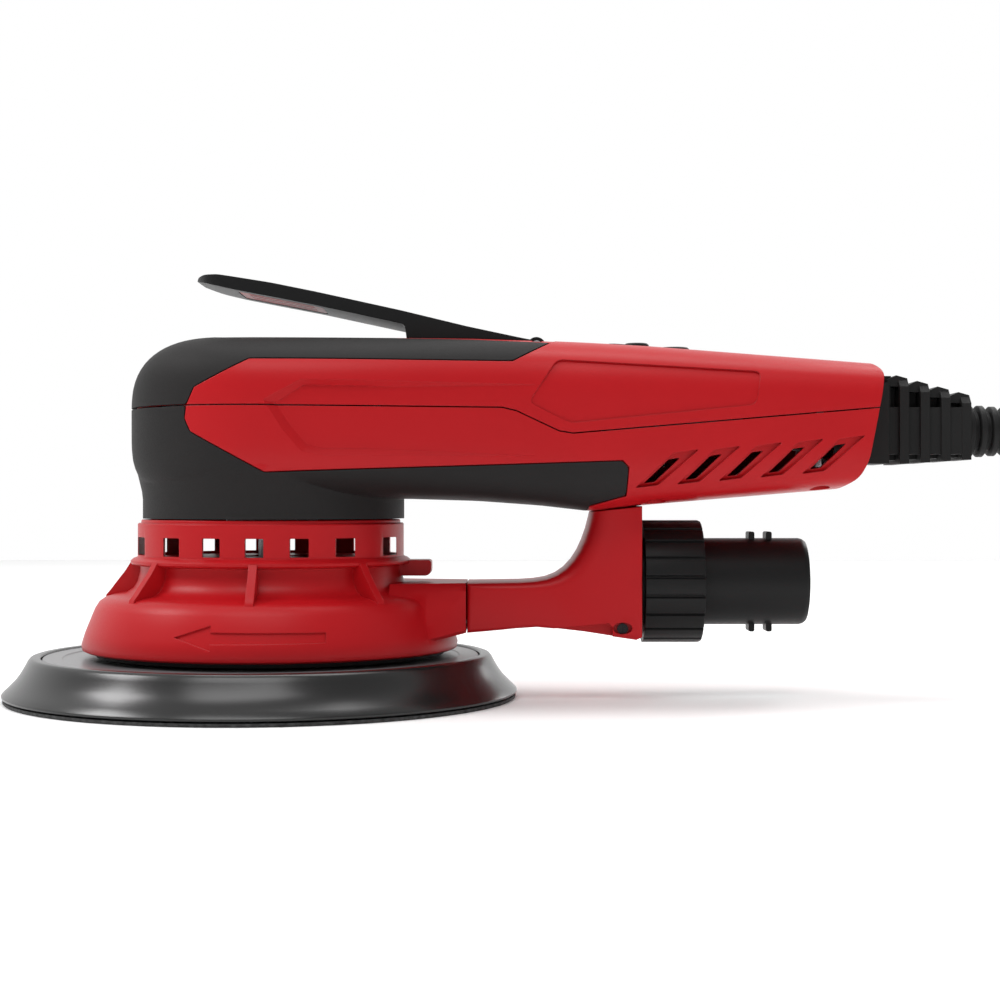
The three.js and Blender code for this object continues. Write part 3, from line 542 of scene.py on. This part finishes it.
HEAD_RADIUS, WAIST, CROWN_X = 40.75, 82.0, -12.0
RISE, FALL = 23.1, 23.7  # from the waist to the crown, and to the underside of the head
HANDLE_X, HANDLE_HALF = 95, 28.5  # where the head has run out into the handle, and its half width there
REAR_X = 181
UPPER_POWER, LOWER_POWER = 3.4, 5  # squareness of a cross-section over and under the waist
GRIP_DEPTH = 1.6  # how deep the shells are cut back under a grip
HALF_GAP = 0.18  # half the open line between the two shells
TOP_LINE = [(-60, 105.1), (60, 104.9), (78, 104.5), (92, 103.9), (110, 102.9), (181, 97.4)]
BOTTOM_LINE = [
    (-60, 58.5), (41, 58.3), (61, 57.7), (79, 56.4), (94, 54.7), (109, 56.5), (169, 61.5), (181, 62.4),
]
PARTING = [(-60, 84.4), (68, 83.9), (72, 83.0), (84, 77.4), (88, 76.75), (200, 86.3)]
SKIN_DEPTH = 1.2  # thickness of a grip
UPPER_GRIP = [
    (-60, 84.4), (-19.1, 84.2), (-16.8, 89.1), (-1.5, 96.9), (71.1, 96.9), (87, 105.6), (87, 120), (-60, 120),
]
LOWER_GRIP = [
    (-60, 84.4), (-60, 40), (92, 40), (92.9, 56.2), (103.2, 59.1), (103.8, 67.2), (102, 69.2), (12.7, 66.2),
    (2.9, 65.8), (-17.9, 77), (-19.6, 80.6), (-19.1, 84.2),
]
FINGER_DISH = [(2.6, 85.4), (12.9, 92), (30, 91.8), (78, 90.8), (78, 70), (18, 69.8), (13, 71.2), (8, 77)]
LABEL_FIELD = [(83.6, 97.6), (141.2, 94.3), (139.6, 84.9), (87.2, 79.6), (75.6, 85.4)]


def along(knots, x):
    """The height at x of a line through knots."""
    for (x0, v0), (x1, v1) in zip(knots, knots[1:]):
        if x <= x1:
            return v0 + (v1 - v0) * (x - x0) / (x1 - x0)
    return knots[-1][1]


def half_width(x, inset):
    """Half the body's width at x: a round head that eases into a handle with a slight taper."""
    if x < 0:
        return math.sqrt(max((HEAD_RADIUS - inset) ** 2 - x ** 2, 0))
    if x < HANDLE_X:
        ease = 0.5 + 0.5 * math.cos(math.pi * x / HANDLE_X)
        return HANDLE_HALF + (HEAD_RADIUS - HANDLE_HALF) * ease - inset
    return HANDLE_HALF - 3 * (x - HANDLE_X) / (REAR_X - HANDLE_X) - inset


def stations(inset):
    """Cross-sections from the nose to the rear: x, height over the waist, depth under it."""
    found = []
    for i in range(20):
        reach = math.sin(math.pi / 2 * (0.985 - 0.985 * i / 20))
        x = CROWN_X - (HEAD_RADIUS + CROWN_X - inset) * reach
        up = (RISE - inset) * (1 - reach ** 2.5) ** 0.4
        down = (FALL - inset) * (1 - reach ** 3.4) ** (1 / 3.4)
        found.append((x, up, down))
    for i in range(66):
        x = CROWN_X + (REAR_X - CROWN_X) * i / 65
        found.append((x, along(TOP_LINE, x) - WAIST - inset, WAIST - along(BOTTOM_LINE, x) - inset))
    return found


def body_skin(inset, sides=120, fade=None):
    """Head and handle as one closed skin: a ring drawn out from station to station.

    With fade, a pair of x, the sides come back out to the full width between the two.
    """
    bm = bmesh.new()
    layer = bm.verts.layers.float.new("angle")
    ring = bmesh.ops.create_circle(bm, segments=sides, radius=1)["verts"]
    for vert in ring:
        vert[layer] = math.atan2(vert.co.y, vert.co.x)
    edges = list(bm.edges)
    first = list(edges)
    for number, (x, up, down) in enumerate(stations(inset)):
        if number:
            grown = bmesh.ops.extrude_edge_only(bm, edges=edges)["geom"]
            ring = [item for item in grown if isinstance(item, bmesh.types.BMVert)]
            edges = [item for item in grown if isinstance(item, bmesh.types.BMEdge)]
        for vert in ring:
            sine, cosine = math.sin(vert[layer]), math.cos(vert[layer])
            power = 2 / (UPPER_POWER if sine > 0 else LOWER_POWER)
            rise = math.copysign(abs(sine) ** power, sine) * (up if sine > 0 else down)
            held = inset
            if fade:
                start, end = fade
                held = inset * (end - min(max(x, start), end)) / (end - start) - 0.02
            side = math.copysign(abs(cosine) ** power, cosine) * half_width(x, held)
            vert.co = (x, side, WAIST + rise)
    bmesh.ops.edgeloop_fill(bm, edges=first)
    bmesh.ops.edgeloop_fill(bm, edges=edges)
    bmesh.ops.recalc_face_normals(bm, faces=bm.faces)
    return temporary(bm)


def neck_skin(inset, foot):
    """The round neck over the shroud; foot is how far down it goes."""
    profile = [
        (0, foot), (38.3, foot), (38.3, 58.2), (38.55, 60.4), (39.1, 62.8), (39.8, 65.6), (40.1, 67.4),
        (39, 72), (0, 72),
    ]
    return lathe([(max(r - inset, 0), z) for r, z in profile], 120, 0.8)


def rear_cut(inset):
    """What is cut off behind the housing's slanted rear face."""
    end = rounded([
        (160, 45), (163.6, 60.4), (169.3, 64.2), (171.7, 69.2), (176.6, 94.6), (174.4, 97.6), (174, 112),
        (FAR, 112), (FAR, 45),
    ], 2)
    return prism([(x - inset, z) for x, z in end], -60, 60)


def body_solid(inset, foot):
    joined = boolean(body_skin(inset), [neck_skin(inset, foot)], "UNION")
    return boolean(joined, [rear_cut(inset)])


def both_sides(outline, near, far):
    """The same prism on both sides of the middle."""
    return [prism(outline, near, far), prism(outline, -far, -near)]


def finger_dish():
    """The finger dish of each side: a steep rim that is crisp in front and runs out to the rear."""
    cutters = []
    for side in (-1, 1):
        layers = []
        for reach, inward in ((4, -4.6), (-1.8, 2.3), (-8, 2.4)):
            ring = shrink(split_edges(FINGER_DISH, 5), inward)
            layers.append([(x, side * (half_width(x, 0) + reach), z) for x, z in ring])
        cutters.append(boolean(loft(layers), [body_skin(1.8, 96, (30, 76))]))
    return cutters


def vent_cutters():
    """Slanted vents: a shallow parallelogram field with a narrower slot through the wall in it."""
    fields, slots = [], []
    for i in range(5):
        x, z = 105.9 + 11.75 * i, 61.6 + i
        field = [(x - 0.3, z - 0.2), (x + 6.1, z + 0.6), (x + 17.5, z + 10.6), (x + 10.2, z + 9.6)]
        slot = [(x + 2.1, z + 1.1), (x + 5.2, z + 1.5), (x + 12.3, z + 8.3), (x + 9.1, z + 7.9)]
        fields.append(rounded(field, 0.5, 2))
        slots.append(rounded(slot, 0.4, 2))
    return fields, slots


def recess(outline, depth):
    """A field sunk by depth under the outer skin, on both sides."""
    cutters = []
    for side in both_sides(outline, 12, 60):
        cutters.append(boolean(side, [body_skin(depth, 96)]))
    return cutters


def grip_space(region):
    """What the shells give up for the grip of a region."""
    return boolean(prism(region, -60, 60), [body_solid(GRIP_DEPTH, 40)])


def lever_top():
    """The flat on top under the lever, which the grip leaves bare."""
    return block((38, 200), (-18.2, 18.2), (90, 130))


def boot_hole():
    return block((160, FAR), (-11.3, 11.3), (68.1, 93.3))


def make_grips(outer):
    """Both soft grips: the body's own skin inside each region, a thin layer deep."""
    for name, region, left_bare in (
        ("upper_grip", UPPER_GRIP, [lever_top()]),
        ("lower_grip", LOWER_GRIP, []),
    ):
        inside = rounded(shrink(region, 0.28), 0.9, 3)
        grip = boolean(copy_of(outer), [prism(inside, -60, 60)], "INTERSECT")
        boolean(grip, [body_solid(SKIN_DEPTH, 40)] + left_bare)
        finish_piece(grip, name + "_overmould", "housing", "grip", [name])


def make_upper_shell(outer, core):
    side = [(x, z + HALF_GAP) for x, z in PARTING] + [(200, 130), (-60, 130)]
    upper = boolean(copy_of(outer), [prism(side, -60, 60)], "INTERSECT")
    tray = block((32, 90), (-18, 18), (95, 120))
    pocket = prism(rounded([(34, -15.5), (83.5, -15.5), (83.5, 15.5), (34, 15.5)], 2), 97, 130, PLAN)
    hollow = boolean(copy_of(core), [tray])
    bed = boolean(grip_space(UPPER_GRIP), [lever_top()])
    panel_bed = prism([(98.7, 101.2), (98.7, 120), (126.3, 120), (126.3, 99.2)], -11.3, 11.3)
    well = block((102, 125.2), (-10.3, 10.3), (90, 120))
    pin_hole = rod(1.8, -17.4, 17.4, (78, 102.3), SIDE, 24)
    label_fields = recess(rounded(LABEL_FIELD, 2), 0.5)
    boolean(upper, [hollow, pocket, bed, panel_bed, well, boot_hole(), pin_hole, *label_fields])
    boolean(upper, finger_dish())
    finish_piece(upper, "upper_housing", "housing", "red", ["upper_shell"])


def make_lower_shell(outer, core):
    """Uses up both solids, so it comes last."""
    side = [(x, z - HALF_GAP) for x, z in PARTING] + [(200, 20), (-60, 20)]
    lower = boolean(outer, [prism(side, -60, 60)], "INTERSECT")
    cutters = [core, boot_hole(), grip_space(LOWER_GRIP), *finger_dish()]
    fields, slots = vent_cutters()
    for field in fields:
        cutters += recess(field, 1.1)
    for slot in slots:
        cutters += both_sides(slot, 18, 60)
    for x, y in ((112, 18), (112, -18), (159, 17.5), (159, -17.5)):
        cutters.append(rod(2.9, 40, 70, (x, y), PLAN, 24))
    boolean(lower, cutters)
    finish_piece(lower, "lower_housing", "housing", "red", ["lower_shell"])


def make_housing():
    outer = body_solid(0, 52.6)
    core = body_solid(3.2, 40)
    make_grips(outer)
    make_upper_shell(outer, core)
    make_lower_shell(outer, core)


# ------------------------------------------------------------------ shroud and duct

RING_RADIUS = 38.96
PORT_Z = 34  # height of the dust port's axis
SPLIT_X, STUB_LENGTH = 57.7, 21.7  # where the duct is split from its root, and how far in the root goes
# Half outlines of the duct at the split and of its root: y, z.
DUCT_SECTION = [(-13.2, 34), (-15.5, 31.8), (-15.5, 28), (-15.5, 24.3), (-15.5, 20.6), (-14.4, 19.7)]
STUB_ROOT = [(-19.6, 34), (-22.6, 31.4), (-27.9, 26.4), (-33.2, 21.4), (-38.6, 16.4), (-37, 15.6)]


def mirrored(half):
    """A half outline and its mirror image, as one closed outline."""
    return half + [(-a, b) for a, b in reversed(half)]


def duct_stub():
    """The root of the duct: its section where it is split from the duct spreads out towards the skirt."""
    layers = []
    for i in range(9):
        share = i / 8
        ring = [
            (near[0] + (far[0] - near[0]) * share, near[1] + (far[1] - near[1]) * share)
            for near, far in zip(mirrored(DUCT_SECTION), mirrored(STUB_ROOT))
        ]
        layers.append([(SPLIT_X - STUB_LENGTH * share, y, z) for y, z in ring])
    return loft(layers)


def make_shroud():
    """Skirt, flange and ring in one turning, with ribs, a tab, the duct's root and the cooling windows."""
    profile = [(0, 14.6), (53.6, 14.2), (54.7, 14.7), (55.0, 16.3), (53.9, 19.8), (52.5, 23.3), (51.1, 26.7)]
    profile += [(49.9, 28.6), (48.2, 29.8), (46.0, 30.4), (42.4, 31.0), (40.2, 32.4), (39.0, 34.4), (38.3, 37)]
    profile += [(38.2, 38.9), (40.6, 39.3), (41, 39.7), (41, 40.4), (40.2, 41.1), (RING_RADIUS, 41.6)]
    profile += [(RING_RADIUS, 51), (38.7, 51.3), (38, 51.35), (37.9, 52.1), (37.7, 52.3), (0, 52.3)]
    shroud = lathe(profile, 160)
    ribs = []
    rib_outline = [
        (36, 28.5), (49, 28.8), (48.8, 30.1), (47.5, 31.6), (46, 33.6), (43.3, 37), (41.2, 40.3), (36, 40.3),
    ]
    for i in range(8):
        if i != 2:  # the duct is there
            ribs.append(turn(prism(rib_outline, -1.2, 1.2), math.radians(45 * i - 90)))
    tab = prism(rounded([(34, 35.8), (46.2, 35.8), (47.3, 36.8), (47.3, 40.4), (34, 40.4)], 1), -5, 5)
    boolean(shroud, ribs + [tab, duct_stub()], "UNION")
    hollow = [
        (0, 12), (52.4, 12), (52.9, 16.3), (50.4, 23.3), (49, 26.4), (46.6, 28), (38.4, 28.6), (36.2, 39.5),
        (0, 39.5),
    ]
    air_hole = rod(13, 38, 45, (0, 0))
    neck_seat = rod(37, 41.3, 60, (0, 0), PLAN, 128)
    channel = prism([
        (-12, 21.8), (12, 21.8), (13.3, 24), (13.3, 30), (11, 31.8), (-11, 31.8), (-13.3, 30), (-13.3, 24),
    ], 30, 60, SECTION)
    pitch, half, reach = 12.15, 2.55, 37.4
    windows = []
    for i in range(7):
        left, right = [pitch * (i - 3) + side * half for side in (-1, 1)]
        left, right = max(left, -reach), min(right, reach)
        window = rounded([(left, 42.1), (right, 42.1), (right, 47.3), (left, 47.3)], 0.3, 3)
        windows.append(prism(window, -60, 60))
    boolean(shroud, [lathe(hollow, 128), air_hole, neck_seat, channel, *windows])
    boolean(shroud, arrow_cutters())
    finish_piece(shroud, "dust_shroud", "housing", "red", ["shroud"])


def arrow_cutters():
    """A plain direction arrow, engraved 0.5 mm into the front and back of the skirt."""
    head = [(-20, 21), (-9.9, 24.3), (-9.9, 22.5), (20.7, 22.3), (20.7, 19.6), (-9.9, 19.4), (-9.9, 17.7)]
    ring = [(0, 12), (54.4, 12), (54.5, 16.3), (53.4, 19.8), (52.0, 23.3), (50.6, 26.7), (0, 30)]
    cutters = []
    for side in (-1, 1):
        outline = [(side * -x, z) for x, z in head]
        low, high = sorted((side * 30, side * 60))
        cutters.append(boolean(prism(outline, low, high), [lathe(ring, 128)]))
    return cutters


# Side view of the duct: x, z, and how far its edge is rounded over.
DUCT_OUTLINE = [
    (58, 19.7, 1.1), (66, 20.4, 1.1), (72, 21, 1.1), (78, 21.4, 1.1), (85, 20.8, 1), (92, 20, 0.9),
    (99, 18.9, 0.8), (106.6, 17.8, 0.7), (108.3, 18.6, 0.3), (108.3, 36, 0.3), (108.3, 56.25, 0.3),
    (94.3, 54.6, 5.4), (93.9, 53, 5.4), (93, 49.6, 5.4), (91.8, 46.2, 5.3), (90.4, 43.2, 5.2),
    (88.6, 40.4, 4.9), (86.5, 38.1, 4.4), (84, 36.3, 3.7), (81, 35.1, 3), (77.5, 34.5, 2.6), (73, 34.2, 2.4),
    (66, 34.1, 2.3), (58, 34, 2.3),
]
STRUT_CORNER = 11  # the front corner of the strut's top, whose edge is rounded along that top
DUCT_SCREW = (102.8, 20.9)


def make_duct():
    """The flat duct and its strut: the leading edge is broadly rounded over, the rest only broken."""
    outline = [Vector(p[:2]) for p in DUCT_OUTLINE]
    # How each corner moves as the outline shrinks by a hundredth of a millimetre.
    inward = [Vector(b) - a for a, b in zip(outline, shrink(outline, 0.01))]
    inward[STRUT_CORNER] = (outline[STRUT_CORNER - 1] - outline[STRUT_CORNER]).normalized() * 0.01
    layers = []
    for degrees in range(-90, 91, 15):
        sine, cosine = math.sin(math.radians(degrees)), math.cos(math.radians(degrees))
        layer = []
        for place, way, (_, _, over) in zip(outline, inward, DUCT_OUTLINE):
            swell = 15.5 + 1.3 * min(max((place.x - 88) / 10, 0), 1)
            across = swell - over * (1 - abs(sine))
            moved = place + way * 100 * over * (1 - cosine if abs(sine) < 1 else 1)
            layer.append((moved.x, math.copysign(across, sine) if sine else 0, moved.y))
        layers.append(layer)
    duct = loft(layers)
    channel = prism([
        (-12, 21.9), (12, 21.9), (13.2, 24), (13.2, 29.6), (11, 31.4), (-11, 31.4), (-13.2, 29.6), (-13.2, 24),
    ], 50, 98, SECTION)
    port_seat = rod(14.6, 96, 110, (0, PORT_Z), SECTION, 64)
    tray = [(79, 20.6), (98.6, 22.6), (99.8, 21.4), (99.8, 14), (79, 14)]
    hole = prism([(102.7 + 2.75 * x, 21.15 + 1.7 * z) for x, z in circle(32)], -18, -14.4)
    thread = rod(1.25, -15, -9, DUCT_SCREW, SIDE, 24)
    boolean(duct, [channel, port_seat, *both_sides(tray, 13, 40), hole, thread])
    finish_piece(duct, "dust_duct_moulding", "housing", "red", ["dust_duct"])


def make_duct_screw():
    """A small self-tapping screw at the bottom of the boss's oval hole."""
    shank = rod(1.1, -14.6, -9.6, DUCT_SCREW, SIDE, 24)
    screw = boolean(rod(1.55, -15.1, -14.5, DUCT_SCREW, SIDE, 32), [shank], "UNION")
    boolean(screw, [prism([(102.5, 19.8), (103.1, 19.8), (103.1, 22), (102.5, 22)], -16, -14.8)])
    finish_piece(screw, "boss_screw", "housing", "blackened", ["duct_screw"])


# One lobe of the collar: share of the lobe's angle, and radius.
COLLAR_LOBE = [(0, 17.1), (0.1, 17.1), (0.16, 17.95), (0.4, 18.05), (0.7, 18.05), (0.94, 17.95)]


def make_collar():
    """A clamp ring with broad lands between narrow grooves."""
    lobes = 20
    outline = []
    for i in range(lobes):
        start = math.tau * (i / lobes) + math.radians(-7)
        for share, radius in COLLAR_LOBE:
            angle = start + math.tau / lobes * share
            outline.append((radius * math.cos(angle), PORT_Z + radius * math.sin(angle)))
    collar = prism(outline, 109.4, 126.5, SECTION)
    bore = rod(13.1, 100, 130, (0, PORT_Z), SECTION, 96)
    taper_profile = [(17.7, 127), (17.7, 126.5), (18.1, 125.6), (20, 125.6), (20, 127)]
    boolean(collar, [bore, lathe(taper_profile, 96, along_x=True, height=PORT_Z)])
    finish_piece(collar, "clamp_collar", "collar", "nylon", ["port_collar"], smooth=30)
    add_bevel(collar, 0.25, 2, 40)


def make_port():
    """The tube for the hose, with two small catches on top and two below."""
    profile = [
        (10.6, 104), (14.2, 104), (14.2, 107.6), (12.75, 107.6), (12.75, 155.6), (12.5, 156.6), (11.9, 157.4),
        (10.9, 157.4), (10.6, 157.1),
    ]
    port = lathe(profile, 96, along_x=True, height=PORT_Z)
    catches = []
    for x in (141.5, 146.6):
        for side in (-1, 1):
            z = PORT_Z + side * 13.2
            outline = [(x - 0.85, z - 1.5), (x + 0.85, z - 1.5), (x + 0.85, z + 1.5), (x - 0.85, z + 1.5)]
            catches.append(prism(rounded(outline, 0.6, 4), -3.4, 3.4))
    boolean(port, catches, "UNION")
    finish_piece(port, "hose_port", "port", "nylon", ["port_tube"])


# ------------------------------------------------------------------ sanding pad

PAD_X = -2.5  # the pad's axis, off the motor's by the orbit
INNER_HOLES, OUTER_HOLES = (6, 40), (8, 58)  # how many, and on what radius


def pad_holes(low, high, rings=(INNER_HOLES, OUTER_HOLES)):
    holes = []
    for count, pitch in rings:
        for i in range(count):
            angle = math.tau * (i + 0.5) / count
            place = (PAD_X + pitch * math.cos(angle), pitch * math.sin(angle))
            holes.append(rod(4.6, low, high, place, PLAN, 32))
    return holes


def make_pad():
    """Flared foam with the plate set into its top, and the hook layer under it."""
    foam = lathe([
        (0, 1.3), (74.2, 1.3), (74.9, 1.6), (75, 2.1), (74.6, 2.7), (73.2, 4.0), (72, 5.2), (70.8, 6.5),
        (69.8, 7.9), (69, 9.2), (68.2, 10.6), (67.5, 11.9), (66.9, 12.6), (66.3, 12.8), (64.4, 12.8),
        (64.0, 12.4), (64, 7.5), (10.4, 7.5), (10.4, 4.2), (0, 4.2),
    ], 192, PAD_X)
    boolean(foam, pad_holes(0, 20))
    finish_piece(foam, "flared_foam_pad", "pad", "pad", ["foam_pad"])
    plate = lathe([
        (4, 7.8), (63.6, 7.8), (63.6, 12.1), (63.3, 12.4), (58, 12.4), (57.6, 12.1), (16, 12.1), (15.6, 12.4),
        (4, 12.4),
    ], 160, PAD_X)
    boolean(plate, pad_holes(0, 20, [INNER_HOLES]))
    finish_piece(plate, "ribbed_backing_plate", "pad", "plate", ["backing_plate"])
    hooks = lathe([(0, 0), (74.3, 0), (74.6, 0.3), (74.6, 1), (0, 1)], 192, PAD_X)
    boolean(hooks, pad_holes(-1, 2))
    finish_piece(hooks, "hook_layer", "pad", "hooks", ["hook_face"])


# ------------------------------------------------------------------ lever


LEVER_PIN = (78, 102.3)


def make_lever():
    """A paddle on a pin: a wedge cut from a side view and a plan, open for its insert and its spring."""
    top = [
        (-21.2, 121.8), (-20.6, 122.8), (-18.6, 123.3), (-14, 123.2), (-9, 122.4), (1.5, 120.7), (14.4, 118.1),
        (39, 112.7), (58, 108.1), (74, 104.7), (79.5, 103.7),
    ]
    bottom = [
        (79.5, 101), (72, 101.3), (56, 104.7), (55, 101.4), (41, 101.4), (40, 108.7), (14.4, 114.2),
        (-9, 118.7), (-16, 120.3),
    ]
    plan = [(-21.6, -6), (-17, -13.2), (-6, -14), (FAR, -14), (FAR, 14), (-6, 14), (-17, 13.2), (-21.6, 6)]
    lever = prism(rounded(top + bottom, 1.2, 4), -14, 14)
    boolean(lever, [prism(rounded(plan, 9, 8), 80, 140, PLAN)], "INTERSECT")
    boolean(lever, [rod(2.7, -14, 14, LEVER_PIN, SIDE, 48)], "UNION")
    insert_slot = prism(rounded([(-9, -9.5), (16, -9.5), (16, 9.5), (-9, 9.5)], 2.5, 6), 100, 140, PLAN)
    behind = block((81.5, FAR), (-20, 20), (80, 140))
    spring_slot = block((72, 84), (-7.5, 7.5), (80, 110))
    boolean(lever, [behind, spring_slot, insert_slot, rod(1.8, -20, 20, LEVER_PIN, SIDE, 32)])
    finish_piece(lever, "paddle_lever", "lever", "nylon", ["lever"])
    add_bevel(lever, 0.8, 3, 50)


def make_insert():
    """The lever's red insert, with four shallow bars under it."""
    insert = prism([(-8.7, 118.8), (-8.7, 121.9), (15.7, 117.4), (15.7, 114.1)], -9.2, 9.2)
    plan = rounded([(-8.7, -9.2), (15.7, -9.2), (15.7, 9.2), (-8.7, 9.2)], 2.3, 6)
    boolean(insert, [prism(plan, 100, 140, PLAN)], "INTERSECT")
    line = [(-6, 117), (-6, 118.9), (13, 115.2), (13, 113)]
    bars = []
    for side in (-1, 1):
        for near, far in ((2, 3.2), (6, 7.2)):
            bars.append(prism(line, *sorted((side * near, side * far))))
    boolean(insert, bars)
    finish_piece(insert, "lever_badge", "lever", "red", ["lever_insert"])


# ------------------------------------------------------------------ controls


# Each key: node, body, x, y, radius, height of its top, and whether its mark is a plus.
KEYS = [
    ("power_button", "power_key", 119, 0, 4.5, 103.1, True),
    ("speed_up_button", "speed_up_key", 107.5, 5.2, 3.6, 103.9, True),
    ("speed_down_button", "speed_down_key", 107.5, -5.2, 3.6, 103.9, False),
]


def make_panel():
    """The inlay on top of the handle, with a hole for each key and one for the status light."""
    panel = prism([(99, 101.5), (99, 103.5), (126, 101.4), (126, 99.5)], -11, 11)
    plan = rounded([(99, -11), (126, -11), (126, 11), (99, 11)], 3.5, 6)
    boolean(panel, [prism(plan, 80, 140, PLAN)], "INTERSECT")
    holes = [rod(radius + 0.4, 90, 110, (x, y), PLAN, 48) for _, _, x, y, radius, _, _ in KEYS]
    boolean(panel, holes + [block((100.8, 103), (-3, 3), (90, 110))])
    finish_piece(panel, "control_inlay", "housing", "nylon", ["control_panel"])
    add_bevel(panel, 0.4, 2, 50)


def make_key(name, body, x, y, radius, top, plus):
    """A round key with a flange under the inlay, a dished top and a sunk plus or minus."""
    key = lathe([
        (0, 97.5), (radius + 1, 97.5), (radius + 1, 98.7), (radius, 98.7), (radius, top - 0.5),
        (radius - 0.5, top - 0.05), (radius * 0.6, top - 0.25), (0, top - 0.35),
    ], 48)
    key.data.transform(Matrix.Translation((x, y, 0)))
    depth = (top - 0.7, top + 1)
    mark = [block((x - 1.6, x + 1.6), (y - 0.35, y + 0.35), depth)]
    if plus:
        mark.append(block((x - 0.35, x + 0.35), (y - 1.6, y + 1.6), depth))
    boolean(key, mark)
    finish_piece(key, name + "_cap", body, "rubber", [name])


# ------------------------------------------------------------------ strain relief


def boot_section(half, bottom, top, corner):
    """A plate's outline, with both upper corners cut off."""
    return [
        (-half, bottom), (half, bottom), (half, top - corner), (half - corner, top), (corner - half, top),
        (-half, top - corner),
    ]


def make_boot():
    """Four stepped plates on a core, each with a peaked top."""
    anchor = [(168.3, 68.5), (180.4, 68.5), (180.4, 92), (168.3, 92)]
    boot = prism(anchor, -11, 11)
    parts = [
        prism([(168.3, 74), (181.6, 74), (181.6, 94.2), (168.3, 94.2)], -7.6, 7.6),
        prism([(168.3, 71.3), (203.8, 71.3), (203.8, 85), (168.3, 85)], -9.6, 9.6),
        prism([(168.3, 90.6), (182, 91), (204, 86.6), (204, 70.6), (168.3, 69)], -4.6, 4.6),
    ]
    for i in range(4):
        x = 183.4 + 6.15 * i
        half, low, high = 11.2 - 0.5 * i, 68.5 + 0.4 * i, 94.3 - 1.6 * i
        parts.append(prism(boot_section(half, low, high - 1.2, 2.2), x, x + 2.7, SECTION))
        roof = [
            (x - 3.3, high - 1.3), (x - 0.6, high), (x + 2.6, high - 0.9), (x + 2.7, high - 3.4),
            (x - 3.3, high - 3.2),
        ]
        parts.append(prism(roof, 2 - half, half - 2))
    boolean(boot, parts, "UNION")
    finish_piece(boot, "stepped_boot", "housing", "rubber", ["strain_relief_boot"])
    add_bevel(boot, 0.3, 2, 40)


def make_sleeve():
    """Nine rings that get smaller on a thin core, ending in a plain collar round the lead."""
    profile = [(0, 204.6)]
    for i in range(9):
        x = 204.6 + 3.6 * i
        radius = 7.9 - 0.28 * i
        profile += [(radius - 0.3, x), (radius, x + 0.3), (radius, x + 1.7), (radius - 0.3, x + 2)]
        profile += [(radius - 2.1, x + 2.2), (radius - 2.1, x + 3.5)]
    profile += [(5, 237.4), (4.9, 239.2), (4.4, 240), (0, 240)]
    sleeve = lathe(profile, 64, along_x=True, height=LEAD_ROUTE[0][2])
    finish_piece(sleeve, "ribbed_sleeve", "housing", "rubber", ["cable_sleeve"])


# ------------------------------------------------------------------ inner pieces that keep their own mesh

INNER_FINISHES = {
    "steel": [
        "pad_stud", "spindle", "pad_bearing", "counterweight", "motor_shaft", "top_bearing", "bottom_bearing",
        "housing_screw_1", "housing_screw_2", "housing_screw_3", "housing_screw_4", "lever_pin", "lever_spring",
    ],
    "core": ["rotor_core", "stator_core"],
    "copper": ["lower_winding", "upper_winding"],
    "cast": ["eccentric_hub", "motor_can", "motor_top_plate", "bearing_plate", "heat_sink"],
    "nylon": ["dust_fan", "cooling_fan", "lever_sensor", "capacitor", "cable_clamp"],
    "board": ["control_board", "terminal_block"],
    "grip": ["brake_seal"],
    "sheath": ["inner_lead"],
    "lens": ["status_light"],
}


def finish_inner_pieces():
    for material, names in INNER_FINISHES.items():
        for name in names:
            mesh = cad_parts[name].data
            mesh.materials.clear()
            mesh.materials.append(MATERIALS[material])


place_camera()
MATERIALS = make_materials()
lead = make_lead()
plug = make_plug()
pins = [make_pin(-1, "plug_pin_left"), make_pin(1, "plug_pin_right")]
tie = make_tie()
light_studio()
lay_floor()
make_housing()
make_shroud()
make_duct()
make_duct_screw()
make_collar()
make_port()
make_pad()
make_lever()
make_insert()
make_panel()
for key in KEYS:
    make_key(*key)
make_boot()
make_sleeve()
finish_inner_pieces()
